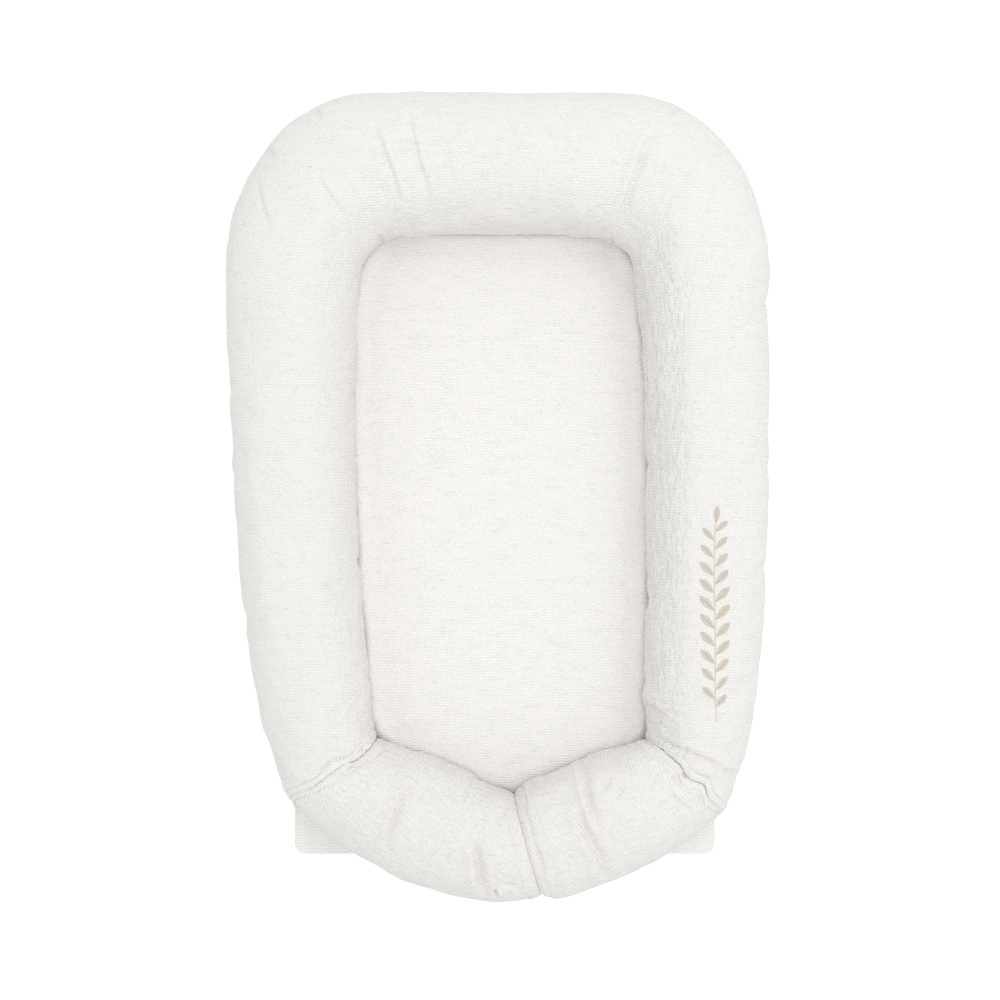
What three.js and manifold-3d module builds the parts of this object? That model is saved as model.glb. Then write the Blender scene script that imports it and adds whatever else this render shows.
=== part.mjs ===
// An infant lounger: a padded mat that carries a stuffed U-shaped bolster. The bolster's two ends are stitched
// through at creases, so that they fold inwards over the foot of the mat, where their tips meet on a touch
// fastener. The mat's cover opens with a zip in its foot edge.
// Millimetres, +Z up, the head end towards +Y. The origin is the centre of the mat's underside.
import * as THREE from 'three';
import { mergeVertices } from 'three/addons/utils/BufferGeometryUtils.js';
import Module from 'manifold-3d';

const wasm = await Module();
wasm.setup();

// Fits and making
const gap = 0.3; // between pieces that are sewn together or touch
const slideGap = 0.3; // round the zip's moving pieces
const overrun = 3; // how far a cutting body runs past what it cuts
const coverSkin = 2; // crinkled cotton with its lining, on the bolster and its ends

// The mat
const mat = {
  width: 436,
  length: 720,
  edgeHeight: 16,
  headCornerRadius: 150,
  footCornerRadius: 10,
  edgeRadius: 3.2,
  undersideRadius: 2.5,
  skin: 1.5,
  arcSteps: 4,
};
const seamHeight = mat.edgeHeight / 2;
const footEdge = -mat.length / 2;
// The fuller middle of the mat, which the bolster surrounds, and its rise inwards from its border, as
// [share of its corner radius, share of its height]
const middle = { sideSetback: 76, endSetback: 92, cornerRadius: 115, height: 17 };
const middleShares = [[0, 0], [0.07, 0.38], [0.2, 0.66], [0.48, 0.86], [0.95, 1]];

// The tape that joins the bolster's underside to the mat
const joinTape = { width: 18, thickness: 1.2, inset: 12 };
const bolsterSeat = mat.edgeHeight + gap + joinTape.thickness + gap;
const endSeat = mat.edgeHeight + gap;

// The bolster. It sits a little to the left on the mat, as sewn, and its arms bow towards the feet of the lounger.
const bolster = {
  halfWidth: 62,
  height: 112,
  leftOverhang: 57.5,
  rightOverhang: 42,
  headOverhang: 51,
  headHalfWidth: 68,
  cornerReach: 92,
  cornerDrop: 150,
  sides: 16,
  spans: [7, 7, 3, 7, 7],
};
const shoulderRoundness = 0.58; // Bezier handles of the bolster's corners, as shares of their drop and reach
const crownRoundness = 0.68;
// Bezier handles of each arm: at its crease, and its belly as [inset from the mat's side, height above the foot edge]
const leftArm = { creaseHandle: [-24.5, 50], belly: [6, 300] };
const rightArm = { creaseHandle: [20, 54], belly: [10, 360] };
const seatShare = 0.84; // how far down its half height the round section is cut flat
const sectionPower = 2.2; // squareness of the section, where 2 is an ellipse
// [share of the length, share of the half width] and [share of the length, share of the height]
const armWidthShares = [
  [0, 0.88], [0.04, 0.9], [0.1, 0.95], [0.2, 0.99], [0.28, 1.01], [0.35, 1.13], [0.4, 1.13], [0.45, 1.11], [0.5, 1.1],
];
const armHeightShares = [[0, 0.86], [0.1, 0.96], [0.25, 1], [0.365, 1.04], [0.5, 1.03]];

// The folded ends
const foldedEnd = { halfWidth: 60, height: 100, spans: [6] };
const endWidthShares = [[0, 0.92], [0.45, 1.02], [0.85, 1], [1, 0.96]];
const endHeightShares = [[0, 0.96], [0.5, 1], [0.85, 1], [1, 0.95]];

// How a stuffed section draws in at a crease or a tip, as [share of the roll, share of the section]
const roll = 16;
const rollShares = [[0, 0.88], [0.3, 0.945], [0.6, 0.98], [1, 1]];
const turnReach = 85; // length over which sections turn from a slanted end to square

// The creases: their centres, as insets from the mat's side and foot edges, and their slants
const crease = {
  leftInset: 47.5,
  rightInset: 38,
  leftSetback: 95,
  rightSetback: 91,
  leftSlant: THREE.MathUtils.degToRad(37),
  rightSlant: THREE.MathUtils.degToRad(41),
};
const creaseWebThickness = 1;
const endPanelThickness = 1.2;
const creaseHalfGap = creaseWebThickness / 2 + gap;

// Where the two tips meet, and how the folded ends bow on their way there
const tip = { offset: 23, setback: 21, lean: THREE.MathUtils.degToRad(15.7) };
const leftEndBow = { reachShare: 0.56, sag: 31 };
const rightEndBow = { reachShare: 0.5, sag: 12 };
const fastener = { width: 44, height: 54, thickness: 0.8, cornerRadius: 6, clearUnder: 22 };
const tipHalfGap = gap / 2 + fastener.thickness + gap;

// The zip, in the frame of the mat's foot edge: x along it, y up, z out of the edge
const zip = {
  length: 280,
  coilWidth: 4.2,
  coilThickness: 1.5,
  coilGap: 0.2,
  tapeThickness: 0.6,
  tapeSpread: 2.2,
  tapeWidth: 3.5,
};
const slider = { length: 9, width: 7.2, nose: 5, plate: 1, flange: 0.9, post: 1.4, postLength: 2.4 };
const crown = { length: 6, width: 1.6, clearLength: 3.4, clearHeight: 1.9, bar: 0.8 };
const pull = { length: 24, width: 6.4, thickness: 1.1, eyeWall: 1.3, tailRadius: 2.4 };
const stop = { length: 2, thickness: 1.6 };

// Flat outlines and rings

const flat = (points, height) => points.map((p) => new THREE.Vector3(p.x, p.y, height));

function matOutline(inset) {
  const halfWidth = mat.width / 2 - inset;
  const halfLength = mat.length / 2 - inset;
  const head = mat.headCornerRadius - inset;
  const foot = mat.footCornerRadius - inset;
  const quarter = Math.PI / 2;
  const outline = new THREE.Shape();
  outline.absarc(halfWidth - head, halfLength - head, head, 0, quarter);
  outline.absarc(head - halfWidth, halfLength - head, head, quarter, 2 * quarter);
  outline.absarc(foot - halfWidth, foot - halfLength, foot, 2 * quarter, 3 * quarter);
  outline.absarc(halfWidth - foot, foot - halfLength, foot, 3 * quarter, 4 * quarter);
  return outline.getPoints(mat.arcSteps);
}

function roundedRectangle(width, height, radius) {
  const x = width / 2 - radius;
  const y = height / 2 - radius;
  const quarter = Math.PI / 2;
  const outline = new THREE.Shape();
  outline.absarc(x, y, radius, 0, quarter);
  outline.absarc(-x, y, radius, quarter, 2 * quarter);
  outline.absarc(-x, -y, radius, 2 * quarter, 3 * quarter);
  outline.absarc(x, -y, radius, 3 * quarter, 4 * quarter);
  return outline;
}

// The mat's upper surface from its seam to its crown, drawn in by an offset all over.
function upperRings(offset, startHeight) {
  const rings = [flat(matOutline(offset), startHeight)];
  const shoulder = mat.edgeHeight - mat.edgeRadius;
  const radius = mat.edgeRadius - offset;
  for (const turnShare of [0, 0.5, 1]) {
    const turn = (turnShare * Math.PI) / 2;
    const inset = mat.edgeRadius - radius * Math.cos(turn);
    rings.push(flat(matOutline(inset), shoulder + radius * Math.sin(turn)));
  }
  for (const [reach, rise] of middleShares) {
    const inset = reach * middle.cornerRadius;
    const width = mat.width - 2 * (middle.sideSetback + inset);
    const length = mat.length - 2 * (middle.endSetback + inset);
    const outline = roundedRectangle(width, length, middle.cornerRadius - inset);
    rings.push(flat(outline.getPoints(mat.arcSteps), mat.edgeHeight + rise * middle.height - offset));
  }
  return rings;
}

// The mat's lower surface from its seam to its flat underside, drawn in by an offset all over.
function lowerRings(offset, startHeight) {
  const rings = [flat(matOutline(offset), startHeight)];
  const radius = mat.undersideRadius - offset;
  for (const turnShare of [0, 1]) {
    const turn = (turnShare * Math.PI) / 2;
    const inset = mat.undersideRadius - radius * Math.cos(turn);
    rings.push(flat(matOutline(inset), mat.undersideRadius - radius * Math.sin(turn)));
  }
  return rings;
}

// Solids

// Joins rings of equal count into one closed body, capped at both ends or closed on itself.
function skin(rings, closesOnItself = false) {
  const count = rings[0].length;
  const points = rings.flat();
  const faces = [];
  const spans = closesOnItself ? rings.length : rings.length - 1;
  for (let i = 0; i < spans; i += 1) {
    const near = i * count;
    const far = ((i + 1) % rings.length) * count;
    for (let j = 0; j < count; j += 1) {
      const k = (j + 1) % count;
      faces.push(near + j, near + k, far + k, near + j, far + k, far + j);
    }
  }
  if (!closesOnItself) {
    for (const [ring, first, flips] of [[rings[0], 0, true], [rings.at(-1), (rings.length - 1) * count, false]]) {
      const middle = points.push(ring.reduce((sum, p) => sum.add(p), new THREE.Vector3()).divideScalar(count)) - 1;
      for (let j = 0; j < count; j += 1) {
        const k = (j + 1) % count;
        faces.push(middle, first + (flips ? k : j), first + (flips ? j : k));
      }
    }
  }
  const geometry = new THREE.BufferGeometry().setFromPoints(points).setIndex(faces);
  return enclosedVolume(geometry) < 0 ? turnedOut(geometry) : geometry;
}

function enclosedVolume(geometry) {
  const position = geometry.attributes.position;
  const corners = [new THREE.Vector3(), new THREE.Vector3(), new THREE.Vector3()];
  let volume = 0;
  for (let i = 0; i < geometry.index.count; i += 3) {
    corners.forEach((corner, j) => corner.fromBufferAttribute(position, geometry.index.getX(i + j)));
    volume += corners[0].dot(corners[1].cross(corners[2])) / 6;
  }
  return volume;
}

function turnedOut(geometry) {
  const index = Array.from(geometry.index.array);
  for (let i = 0; i < index.length; i += 3) [index[i + 1], index[i + 2]] = [index[i + 2], index[i + 1]];
  return geometry.setIndex(index);
}

function solidOf(geometry) {
  const bare = geometry.clone();
  for (const name of ['normal', 'uv']) bare.deleteAttribute(name);
  const merged = mergeVertices(bare);
  const triVerts = new Uint32Array(merged.index.array);
  const vertProperties = new Float32Array(merged.attributes.position.array);
  return new wasm.Manifold(new wasm.Mesh({ numProp: 3, vertProperties, triVerts }));
}

function geometryOf(solid) {
  const mesh = solid.getMesh();
  const geometry = new THREE.BufferGeometry();
  geometry.setAttribute('position', new THREE.BufferAttribute(new Float32Array(mesh.vertProperties), 3));
  return geometry.setIndex(Array.from(mesh.triVerts));
}

// A box given by its size and its middle.
function block(width, depth, height, x = 0, y = 0, z = 0) {
  return new THREE.BoxGeometry(width, depth, height).translate(x, y, z);
}

// A flat shape standing between two heights.
function plate(shape, low, high, curveSegments = 4) {
  return new THREE.ExtrudeGeometry(shape, { depth: high - low, bevelEnabled: false, curveSegments }).translate(0, 0, low);
}

const cut = (body, ...tools) =>
  geometryOf(tools.reduce((solid, tool) => solid.subtract(solidOf(tool)), solidOf(body)));
const join = (body, ...others) =>
  geometryOf(others.reduce((solid, other) => solid.add(solidOf(other)), solidOf(body)));

// Stuffed tubes

// Reads a table of [share, value] at a share, easing from one entry to the next.
function eased(table, share) {
  const after = table.findIndex(([place]) => place >= share);
  if (after < 0) return table.at(-1)[1];
  if (after === 0) return table[0][1];
  const [from, low] = table[after - 1];
  const [to, high] = table[after];
  return THREE.MathUtils.lerp(low, high, THREE.MathUtils.smoothstep(share, from, to));
}

// The sections of a tube: where each stands, which way its width runs and how full it is. Each end lies in a
// plane of its own slant, a given distance short of the end of the path.
function sectionsAlong(tube) {
  const { path, start, end } = tube;
  const length = path.getLength();
  const slack = (side, t) => Math.abs(t.x * side.across.y - t.y * side.across.x);
  const fromStart = 1 / slack(start, path.getTangentAt(0));
  const fromEnd = 1 / slack(end, path.getTangentAt(1));
  const places = rollShares.map(([share, fill]) => [(start.gap + share * roll) * fromStart, fill]);
  const last = rollShares.map(([share, fill]) => [length - (end.gap + share * roll) * fromEnd, fill]).reverse();
  const first = places.at(-1)[0];
  const joints = path.curves ? path.getCurveLengths().slice(0, -1) : [];
  const knots = [first, ...joints, last[0][0]];
  tube.spans.forEach((spans, stretch) => {
    const from = knots[stretch];
    const to = knots[stretch + 1];
    for (let i = 1; i <= spans; i += 1) places.push([THREE.MathUtils.lerp(from, to, i / spans), 1]);
  });
  places.push(...last.slice(1));
  return places.map(([along, fill]) => {
    const share = along / length;
    const centre = path.getPointAt(share);
    const tangent = path.getTangentAt(share);
    const square = new THREE.Vector2(tangent.y, -tangent.x).multiplyScalar(tube.inward);
    const nearStart = 1 - THREE.MathUtils.smoothstep(along, first, first + turnReach);
    const nearEnd = THREE.MathUtils.smoothstep(along, last[0][0] - turnReach, last[0][0]);
    const across = square.multiplyScalar(1 - nearStart - nearEnd);
    across.addScaledVector(start.across, nearStart).addScaledVector(end.across, nearEnd).normalize();
    return {
      centre,
      across,
      halfWidth: fill * tube.halfWidth * tube.widthAt(share),
      height: fill * tube.height * tube.heightAt(share),
      seat: tube.seat,
    };
  });
}

// A round section, cut flat where it sits.
function sectionRing(section, inset) {
  const halfHeight = section.height / (1 + seatShare);
  const middle = section.seat + section.height - halfHeight;
  const points = [];
  const power = 2 / sectionPower;
  for (let i = 0; i < bolster.sides; i += 1) {
    const angle = (2 * Math.PI * i) / bolster.sides;
    const x = Math.sign(Math.cos(angle)) * Math.abs(Math.cos(angle)) ** power * (section.halfWidth - inset);
    const z = Math.sign(Math.sin(angle)) * Math.abs(Math.sin(angle)) ** power * (halfHeight - inset);
    const place = section.centre.clone().addScaledVector(section.across, x);
    points.push(new THREE.Vector3(place.x, place.y, Math.max(middle + z, section.seat + inset)));
  }
  return points;
}

const ringsOf = (sections, inset) => sections.map((section) => sectionRing(section, inset));

// A sheet that lies against a tube's end, between two distances along a direction.
function endSheet(section, inset, direction, from, to) {
  const ring = sectionRing(section, inset);
  const moved = (distance) =>
    ring.map((p) => p.clone().add(new THREE.Vector3(direction.x, direction.y, 0).multiplyScalar(distance)));
  return skin([moved(from), moved(to)]);
}

// The bolster's route over the mat's edge

const leftX = bolster.halfWidth - bolster.leftOverhang - mat.width / 2;
const rightX = mat.width / 2 + bolster.rightOverhang - bolster.halfWidth;
const headY = mat.length / 2 + bolster.headOverhang - bolster.headHalfWidth;
const shoulderY = headY - bolster.cornerDrop;
const leftCrease = new THREE.Vector2(crease.leftInset - mat.width / 2, footEdge + crease.leftSetback);
const rightCrease = new THREE.Vector2(mat.width / 2 - crease.rightInset, footEdge + crease.rightSetback);
// Unit vectors along each crease, pointing in towards the mat's middle.
const leftAcross = new THREE.Vector2(Math.cos(crease.leftSlant), Math.sin(crease.leftSlant));
const rightAcross = new THREE.Vector2(-Math.cos(crease.rightSlant), Math.sin(crease.rightSlant));

function bolsterPath() {
  const at = (x, y) => new THREE.Vector2(x, y);
  const rise = shoulderRoundness * bolster.cornerDrop;
  const reach = (1 - crownRoundness) * bolster.cornerReach;
  const leftHead = at(leftX + bolster.cornerReach, headY);
  const rightHead = at(rightX - bolster.cornerReach, headY);
  const leftBelly = at(leftArm.belly[0] - mat.width / 2, footEdge + leftArm.belly[1]);
  const rightBelly = at(mat.width / 2 - rightArm.belly[0], footEdge + rightArm.belly[1]);
  const path = new THREE.CurvePath();
  path.add(new THREE.CubicBezierCurve(
    leftCrease, leftCrease.clone().add(at(...leftArm.creaseHandle)), leftBelly, at(leftX, shoulderY)));
  path.add(new THREE.CubicBezierCurve(
    at(leftX, shoulderY), at(leftX, shoulderY + rise), at(leftX + reach, headY), leftHead));
  path.add(new THREE.LineCurve(leftHead, rightHead));
  path.add(new THREE.CubicBezierCurve(
    rightHead, at(rightX - reach, headY), at(rightX, shoulderY + rise), at(rightX, shoulderY)));
  path.add(new THREE.CubicBezierCurve(
    at(rightX, shoulderY), rightBelly, rightCrease.clone().add(at(...rightArm.creaseHandle)), rightCrease));
  return path;
}

const bolsterTube = {
  path: bolsterPath(),
  start: { across: leftAcross, gap: creaseHalfGap },
  end: { across: rightAcross, gap: creaseHalfGap },
  inward: 1,
  spans: bolster.spans,
  halfWidth: bolster.halfWidth,
  height: bolster.height,
  seat: bolsterSeat,
  widthAt: (share) => eased(armWidthShares, Math.min(share, 1 - share)),
  heightAt: (share) => eased(armHeightShares, Math.min(share, 1 - share)),
};
const bolsterSections = sectionsAlong(bolsterTube);

// The folded ends' routes from their creases to the place where their tips meet

const tipPlace = new THREE.Vector2(tip.offset, footEdge + tip.setback);
const tipAcross = new THREE.Vector2(-Math.sin(tip.lean), Math.cos(tip.lean));
const tipOut = new THREE.Vector2(Math.cos(tip.lean), Math.sin(tip.lean)); // from the left tip to the right one

function endSections(creasePlace, across, bow, inward) {
  const bend = creasePlace.clone().lerp(tipPlace, bow.reachShare);
  bend.y -= bow.sag;
  return sectionsAlong({
    path: new THREE.QuadraticBezierCurve(creasePlace, bend, tipPlace),
    start: { across, gap: creaseHalfGap },
    end: { across: tipAcross, gap: tipHalfGap },
    inward,
    spans: foldedEnd.spans,
    halfWidth: foldedEnd.halfWidth,
    height: foldedEnd.height,
    seat: endSeat,
    widthAt: (share) => eased(endWidthShares, share),
    heightAt: (share) => eased(endHeightShares, share),
  });
}

const leftEndSections = endSections(leftCrease, leftAcross, leftEndBow, -1);
const rightEndSections = endSections(rightCrease, rightAcross, rightEndBow, 1);

// Materials

const cloth = (color, roughness) => new THREE.MeshStandardMaterial({ color, roughness, metalness: 0 });
const crinkleCotton = cloth('#f3f1ec', 0.92);
const liningCotton = cloth('#ebe7e0', 0.9);
const fibreFilling = cloth('#fbfaf7', 1);
const woundTape = cloth('#e9e4db', 0.85);
const nylonCoil = cloth('#efece5', 0.45);
const lacqueredZinc = new THREE.MeshStandardMaterial({ color: '#e4dfd5', roughness: 0.35, metalness: 0.4 });

const lounger = new THREE.Group();

function place(name, geometry, material, parent = lounger) {
  const mesh = new THREE.Mesh(geometry, material);
  mesh.name = name;
  parent.add(mesh);
  return mesh;
}

// The mat: an upper and a lower cover panel round a filling

const zipWindow = () => block(
  zip.length + 2 * (stop.length + slideGap), 2 * (mat.skin + gap), slider.width + 2 * slideGap,
  0, footEdge, seamHeight);

function upperPanel() {
  const rim = seamHeight + gap / 2;
  const outside = upperRings(0, rim);
  const inside = upperRings(mat.skin, rim);
  return cut(skin([...outside.reverse(), ...inside]), zipWindow());
}

function lowerPanel() {
  const rim = seamHeight - gap / 2;
  const outside = lowerRings(0, rim);
  const inside = lowerRings(mat.skin, rim);
  return cut(skin([...outside.reverse(), ...inside]), zipWindow());
}

// The depth, inwards of the mat's foot edge, that the zip's tapes and the slider's rear plate take up.
const tapeFront = mat.skin + gap;
const tapeBack = tapeFront + zip.tapeThickness;
const rearPlateBack = tapeBack + slideGap + slider.plate;

function matFilling() {
  const inset = mat.skin + gap;
  const above = upperRings(inset, seamHeight);
  const below = lowerRings(inset, seamHeight).slice(1);
  const depth = rearPlateBack + slideGap;
  const room = block(
    zip.length + 2 * stop.length + 2 * overrun, 2 * depth, mat.edgeHeight, 0, footEdge, seamHeight);
  return cut(skin([...above.reverse(), ...below]), room);
}

place('mat_upper_cover', upperPanel(), crinkleCotton);
place('mat_lower_cover', lowerPanel(), liningCotton);
place('mat_filling', matFilling(), fibreFilling);

// The bolster: its cover, its filling, the sheets that close its two ends, and the tape under it

function openSleeve(sections) {
  return skin([...ringsOf(sections, 0), ...ringsOf(sections, coverSkin).reverse()], true);
}

function joiningTape() {
  const sections = bolsterSections.slice(rollShares.length, -rollShares.length);
  const low = mat.edgeHeight + gap;
  return skin(sections.map(({ centre, across }) => {
    const edge = (distance, height) => {
      const p = centre.clone().addScaledVector(across, distance);
      return new THREE.Vector3(p.x, p.y, height);
    };
    const near = joinTape.inset - joinTape.width / 2;
    const far = joinTape.inset + joinTape.width / 2;
    const high = low + joinTape.thickness;
    return [edge(near, low), edge(far, low), edge(far, high), edge(near, high)];
  }));
}

place('bolster_cover', openSleeve(bolsterSections), crinkleCotton);
place('bolster_filling', skin(ringsOf(bolsterSections.slice(1, -1), coverSkin + gap).reverse()), fibreFilling);
place('bolster_joining_tape', joiningTape(), woundTape);

// The folded ends: a cover closed at its tip, its filling, and the sheets at the crease

function bag(sections) {
  const inside = ringsOf(sections.slice(0, -1), coverSkin);
  return skin([...ringsOf(sections, 0).reverse(), ...inside]);
}

function bagFilling(sections) {
  const rings = ringsOf(sections.slice(1, -1), coverSkin + gap);
  const beforeLast = rings.at(-2);
  const backShare = gap / (rollShares[1][0] * roll);
  const last = rings.pop().map((p, i) => p.lerp(beforeLast[i], backShare));
  return skin([...rings, last]);
}

function addFoldedEnd(side, sections, armSection, across, turn) {
  // Square to the crease, pointing from the arm to the folded end.
  const onwards = new THREE.Vector2(across.y, -across.x).multiplyScalar(turn);
  const end = sections[0];
  place(`${side}_end_cover`, bag(sections), crinkleCotton);
  place(`${side}_end_filling`, bagFilling(sections), fibreFilling);
  place(`${side}_end_closing_sheet`, endSheet(end, coverSkin + gap, onwards, 0, endPanelThickness), liningCotton);
  place(`${side}_arm_closing_sheet`,
    endSheet(armSection, coverSkin + gap, onwards, -endPanelThickness, 0), liningCotton);
  place(`${side}_crease_web`, endSheet(end, 0, onwards, -gap - creaseWebThickness, -gap), woundTape);
}

addFoldedEnd('left', leftEndSections, bolsterSections[0], leftAcross, 1);
addFoldedEnd('right', rightEndSections, bolsterSections.at(-1), rightAcross, -1);

// The touch fastener: a loop patch on the left tip and a hook patch on the right one

function addPatch(name, from, to) {
  const holder = new THREE.Group();
  holder.position.set(tipPlace.x, tipPlace.y, endSeat + fastener.clearUnder + fastener.height / 2);
  const sideways = new THREE.Vector3(tipAcross.x, tipAcross.y, 0);
  const up = new THREE.Vector3(0, 0, 1);
  const out = new THREE.Vector3(tipOut.x, tipOut.y, 0);
  holder.quaternion.setFromRotationMatrix(new THREE.Matrix4().makeBasis(sideways, up, out));
  const outline = roundedRectangle(fastener.width, fastener.height, fastener.cornerRadius);
  place(name, plate(outline, from, to), woundTape, holder);
  lounger.add(holder);
}

const patchFace = gap / 2;
addPatch('left_tip_loop_patch', -patchFace - fastener.thickness, -patchFace);
addPatch('right_tip_hook_patch', patchFace, patchFace + fastener.thickness);

// The zip in the mat's foot edge

const zipFrame = new THREE.Group();
zipFrame.position.set(0, footEdge, seamHeight);
zipFrame.rotation.x = Math.PI / 2;
lounger.add(zipFrame);

const closedX = zip.length / 2 - slider.length / 2; // the slider's middle when the zip is closed
const coilFront = -(tapeFront - zip.coilGap - zip.coilThickness);
const coilBack = -(tapeFront - zip.coilGap);

function addTapes() {
  const length = zip.length + 2 * stop.length;
  const reach = zip.tapeSpread / 2 + zip.tapeWidth / 2;
  for (const [name, side] of [['zip_upper_tape', 1], ['zip_lower_tape', -1]]) {
    const tape = block(length, zip.tapeWidth, zip.tapeThickness, 0, side * reach, -(tapeFront + tapeBack) / 2);
    place(name, tape, woundTape, zipFrame);
  }
}

function addCoil() {
  const left = -zip.length / 2;
  const right = closedX - slider.postLength / 2 - slideGap;
  const shape = roundedRectangle(right - left, zip.coilWidth, zip.coilWidth / 4);
  place('zip_coil', plate(shape, coilBack, coilFront).translate((left + right) / 2, 0, 0), nylonCoil, zipFrame);
}

function addStops() {
  const low = coilBack;
  const high = coilBack + stop.thickness;
  const bottom = block(stop.length, zip.coilWidth, high - low, 0, 0, (low + high) / 2);
  bottom.translate(-zip.length / 2 - slideGap - stop.length / 2, 0, 0);
  place('zip_bottom_stop', bottom, nylonCoil, zipFrame);
  const halfWidth = (zip.coilWidth - slider.post) / 2 - slideGap;
  for (const [name, side] of [['zip_upper_top_stop', 1], ['zip_lower_top_stop', -1]]) {
    const crimp = block(stop.length, halfWidth, high - low, 0, 0, (low + high) / 2);
    const x = closedX + slider.length / 2 + slideGap + stop.length / 2;
    crimp.translate(x, (side * (zip.coilWidth - halfWidth)) / 2, 0);
    place(name, crimp, nylonCoil, zipFrame);
  }
}

// A slider's plate: broad at its shoulders, narrow at its tail, with rounded ends.
function sliderOutline() {
  const half = slider.length / 2;
  const shape = new THREE.Shape();
  const shoulder = slider.width / 2;
  const tail = slider.nose / 2;
  shape.moveTo(half, shoulder - (shoulder - tail) / 2);
  shape.lineTo(half - (shoulder - tail), shoulder);
  shape.lineTo(0, shoulder);
  shape.quadraticCurveTo(-half, shoulder, -half, tail);
  shape.lineTo(-half, -tail);
  shape.quadraticCurveTo(-half, -shoulder, 0, -shoulder);
  shape.lineTo(half - (shoulder - tail), -shoulder);
  shape.lineTo(half, (shoulder - tail) / 2 - shoulder);
  return shape;
}

const plateBack = coilFront + slideGap;
const plateFront = plateBack + slider.plate;
const pullAxisDepth = plateFront + crown.clearHeight / 2;

function sliderBody() {
  const front = plate(sliderOutline(), plateBack, plateFront);
  const rear = plate(sliderOutline(), -rearPlateBack, -(tapeBack + slideGap));
  const post = block(
    slider.postLength, slider.post, plateFront + rearPlateBack, 0, 0, (plateFront - rearPlateBack) / 2);
  const flangeLow = -(tapeFront - slideGap);
  const flangeHeight = plateFront - flangeLow;
  const flanges = [1, -1].map((side) => block(
    slider.length / 2, slider.flange, flangeHeight,
    slider.length / 8, (side * (slider.width - slider.flange)) / 2, (plateFront + flangeLow) / 2));
  const archFoot = plateFront - slider.plate / 2;
  const archTop = plateFront + crown.clearHeight + crown.bar;
  const arch = cut(
    block(crown.length, crown.width, archTop - archFoot, 0, 0, (archTop + archFoot) / 2),
    block(crown.clearLength, crown.width * 2, crown.clearHeight, 0, 0, pullAxisDepth));
  return join(front, rear, post, ...flanges, arch);
}

// The pull lies back along the closed zip. Its eye goes round the slider's crown.
function pullTab() {
  const eyeBar = pull.thickness;
  const half = pull.width / 2;
  const outline = new THREE.Shape();
  outline.moveTo(eyeBar / 2, -half);
  outline.lineTo(eyeBar / 2, half);
  outline.lineTo(-pull.length + pull.tailRadius, half);
  outline.quadraticCurveTo(-pull.length, half, -pull.length, 0);
  outline.quadraticCurveTo(-pull.length, -half, -pull.length + pull.tailRadius, -half);
  const eyeHalf = half - pull.eyeWall;
  const eyeFar = -(crown.length / 2 + pull.eyeWall);
  const eye = new THREE.Path();
  eye.moveTo(-eyeBar / 2, -eyeHalf);
  eye.lineTo(eyeFar, -eyeHalf);
  eye.lineTo(eyeFar, eyeHalf);
  eye.lineTo(-eyeBar / 2, eyeHalf);
  outline.holes.push(eye);
  return plate(outline, pullAxisDepth - pull.thickness / 2, pullAxisDepth + pull.thickness / 2);
}

addTapes();
addCoil();
addStops();
place('zip_slider', sliderBody(), lacqueredZinc, zipFrame).position.x = closedX;
place('zip_pull', pullTab(), lacqueredZinc, zipFrame).position.x = closedX;

export default lounger;
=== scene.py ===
import math

import bmesh
import bpy
import numpy as np
from mathutils import Matrix, Vector, noise
from mathutils.bvhtree import BVHTree


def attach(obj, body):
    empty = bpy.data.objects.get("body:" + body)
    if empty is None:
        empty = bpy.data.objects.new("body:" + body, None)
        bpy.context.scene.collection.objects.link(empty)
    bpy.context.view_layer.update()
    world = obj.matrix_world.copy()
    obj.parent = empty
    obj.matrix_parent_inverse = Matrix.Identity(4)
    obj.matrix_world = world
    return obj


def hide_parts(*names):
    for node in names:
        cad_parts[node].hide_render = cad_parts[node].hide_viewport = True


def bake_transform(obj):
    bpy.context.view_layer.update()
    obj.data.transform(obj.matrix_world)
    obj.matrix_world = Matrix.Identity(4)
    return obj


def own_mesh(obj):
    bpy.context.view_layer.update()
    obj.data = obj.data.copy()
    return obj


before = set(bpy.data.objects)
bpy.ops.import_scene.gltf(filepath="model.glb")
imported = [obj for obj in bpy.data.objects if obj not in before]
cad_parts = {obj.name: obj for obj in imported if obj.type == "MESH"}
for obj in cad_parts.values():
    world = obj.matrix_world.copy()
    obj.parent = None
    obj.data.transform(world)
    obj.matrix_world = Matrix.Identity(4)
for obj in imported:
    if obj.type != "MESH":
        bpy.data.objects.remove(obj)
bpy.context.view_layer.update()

MM = 0.001

# The camera: straight above, as in the photograph, where one pixel is one millimetre at the bolster's widest
CAMERA_HEIGHT = 1600
WIDEST_HEIGHT = 70
VIEW_CENTRE = np.array([-5.0, 7.0])
PICTURE_CENTRE = 500

# The mat
MAT_WIDTH, MAT_LENGTH = 436, 720
MAT_EDGE = 16
HEAD_CORNER, FOOT_CORNER = 150, 10
SEAM_HEIGHT = MAT_EDGE / 2
MIDDLE_LEFT, MIDDLE_RIGHT, MIDDLE_FOOT, MIDDLE_HEAD = -174, 160, -322, 302
MIDDLE_CORNER, MIDDLE_RISE = 84, 17
MIDDLE_CLIMB, CLIMB_REACH = 12, 22

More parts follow.
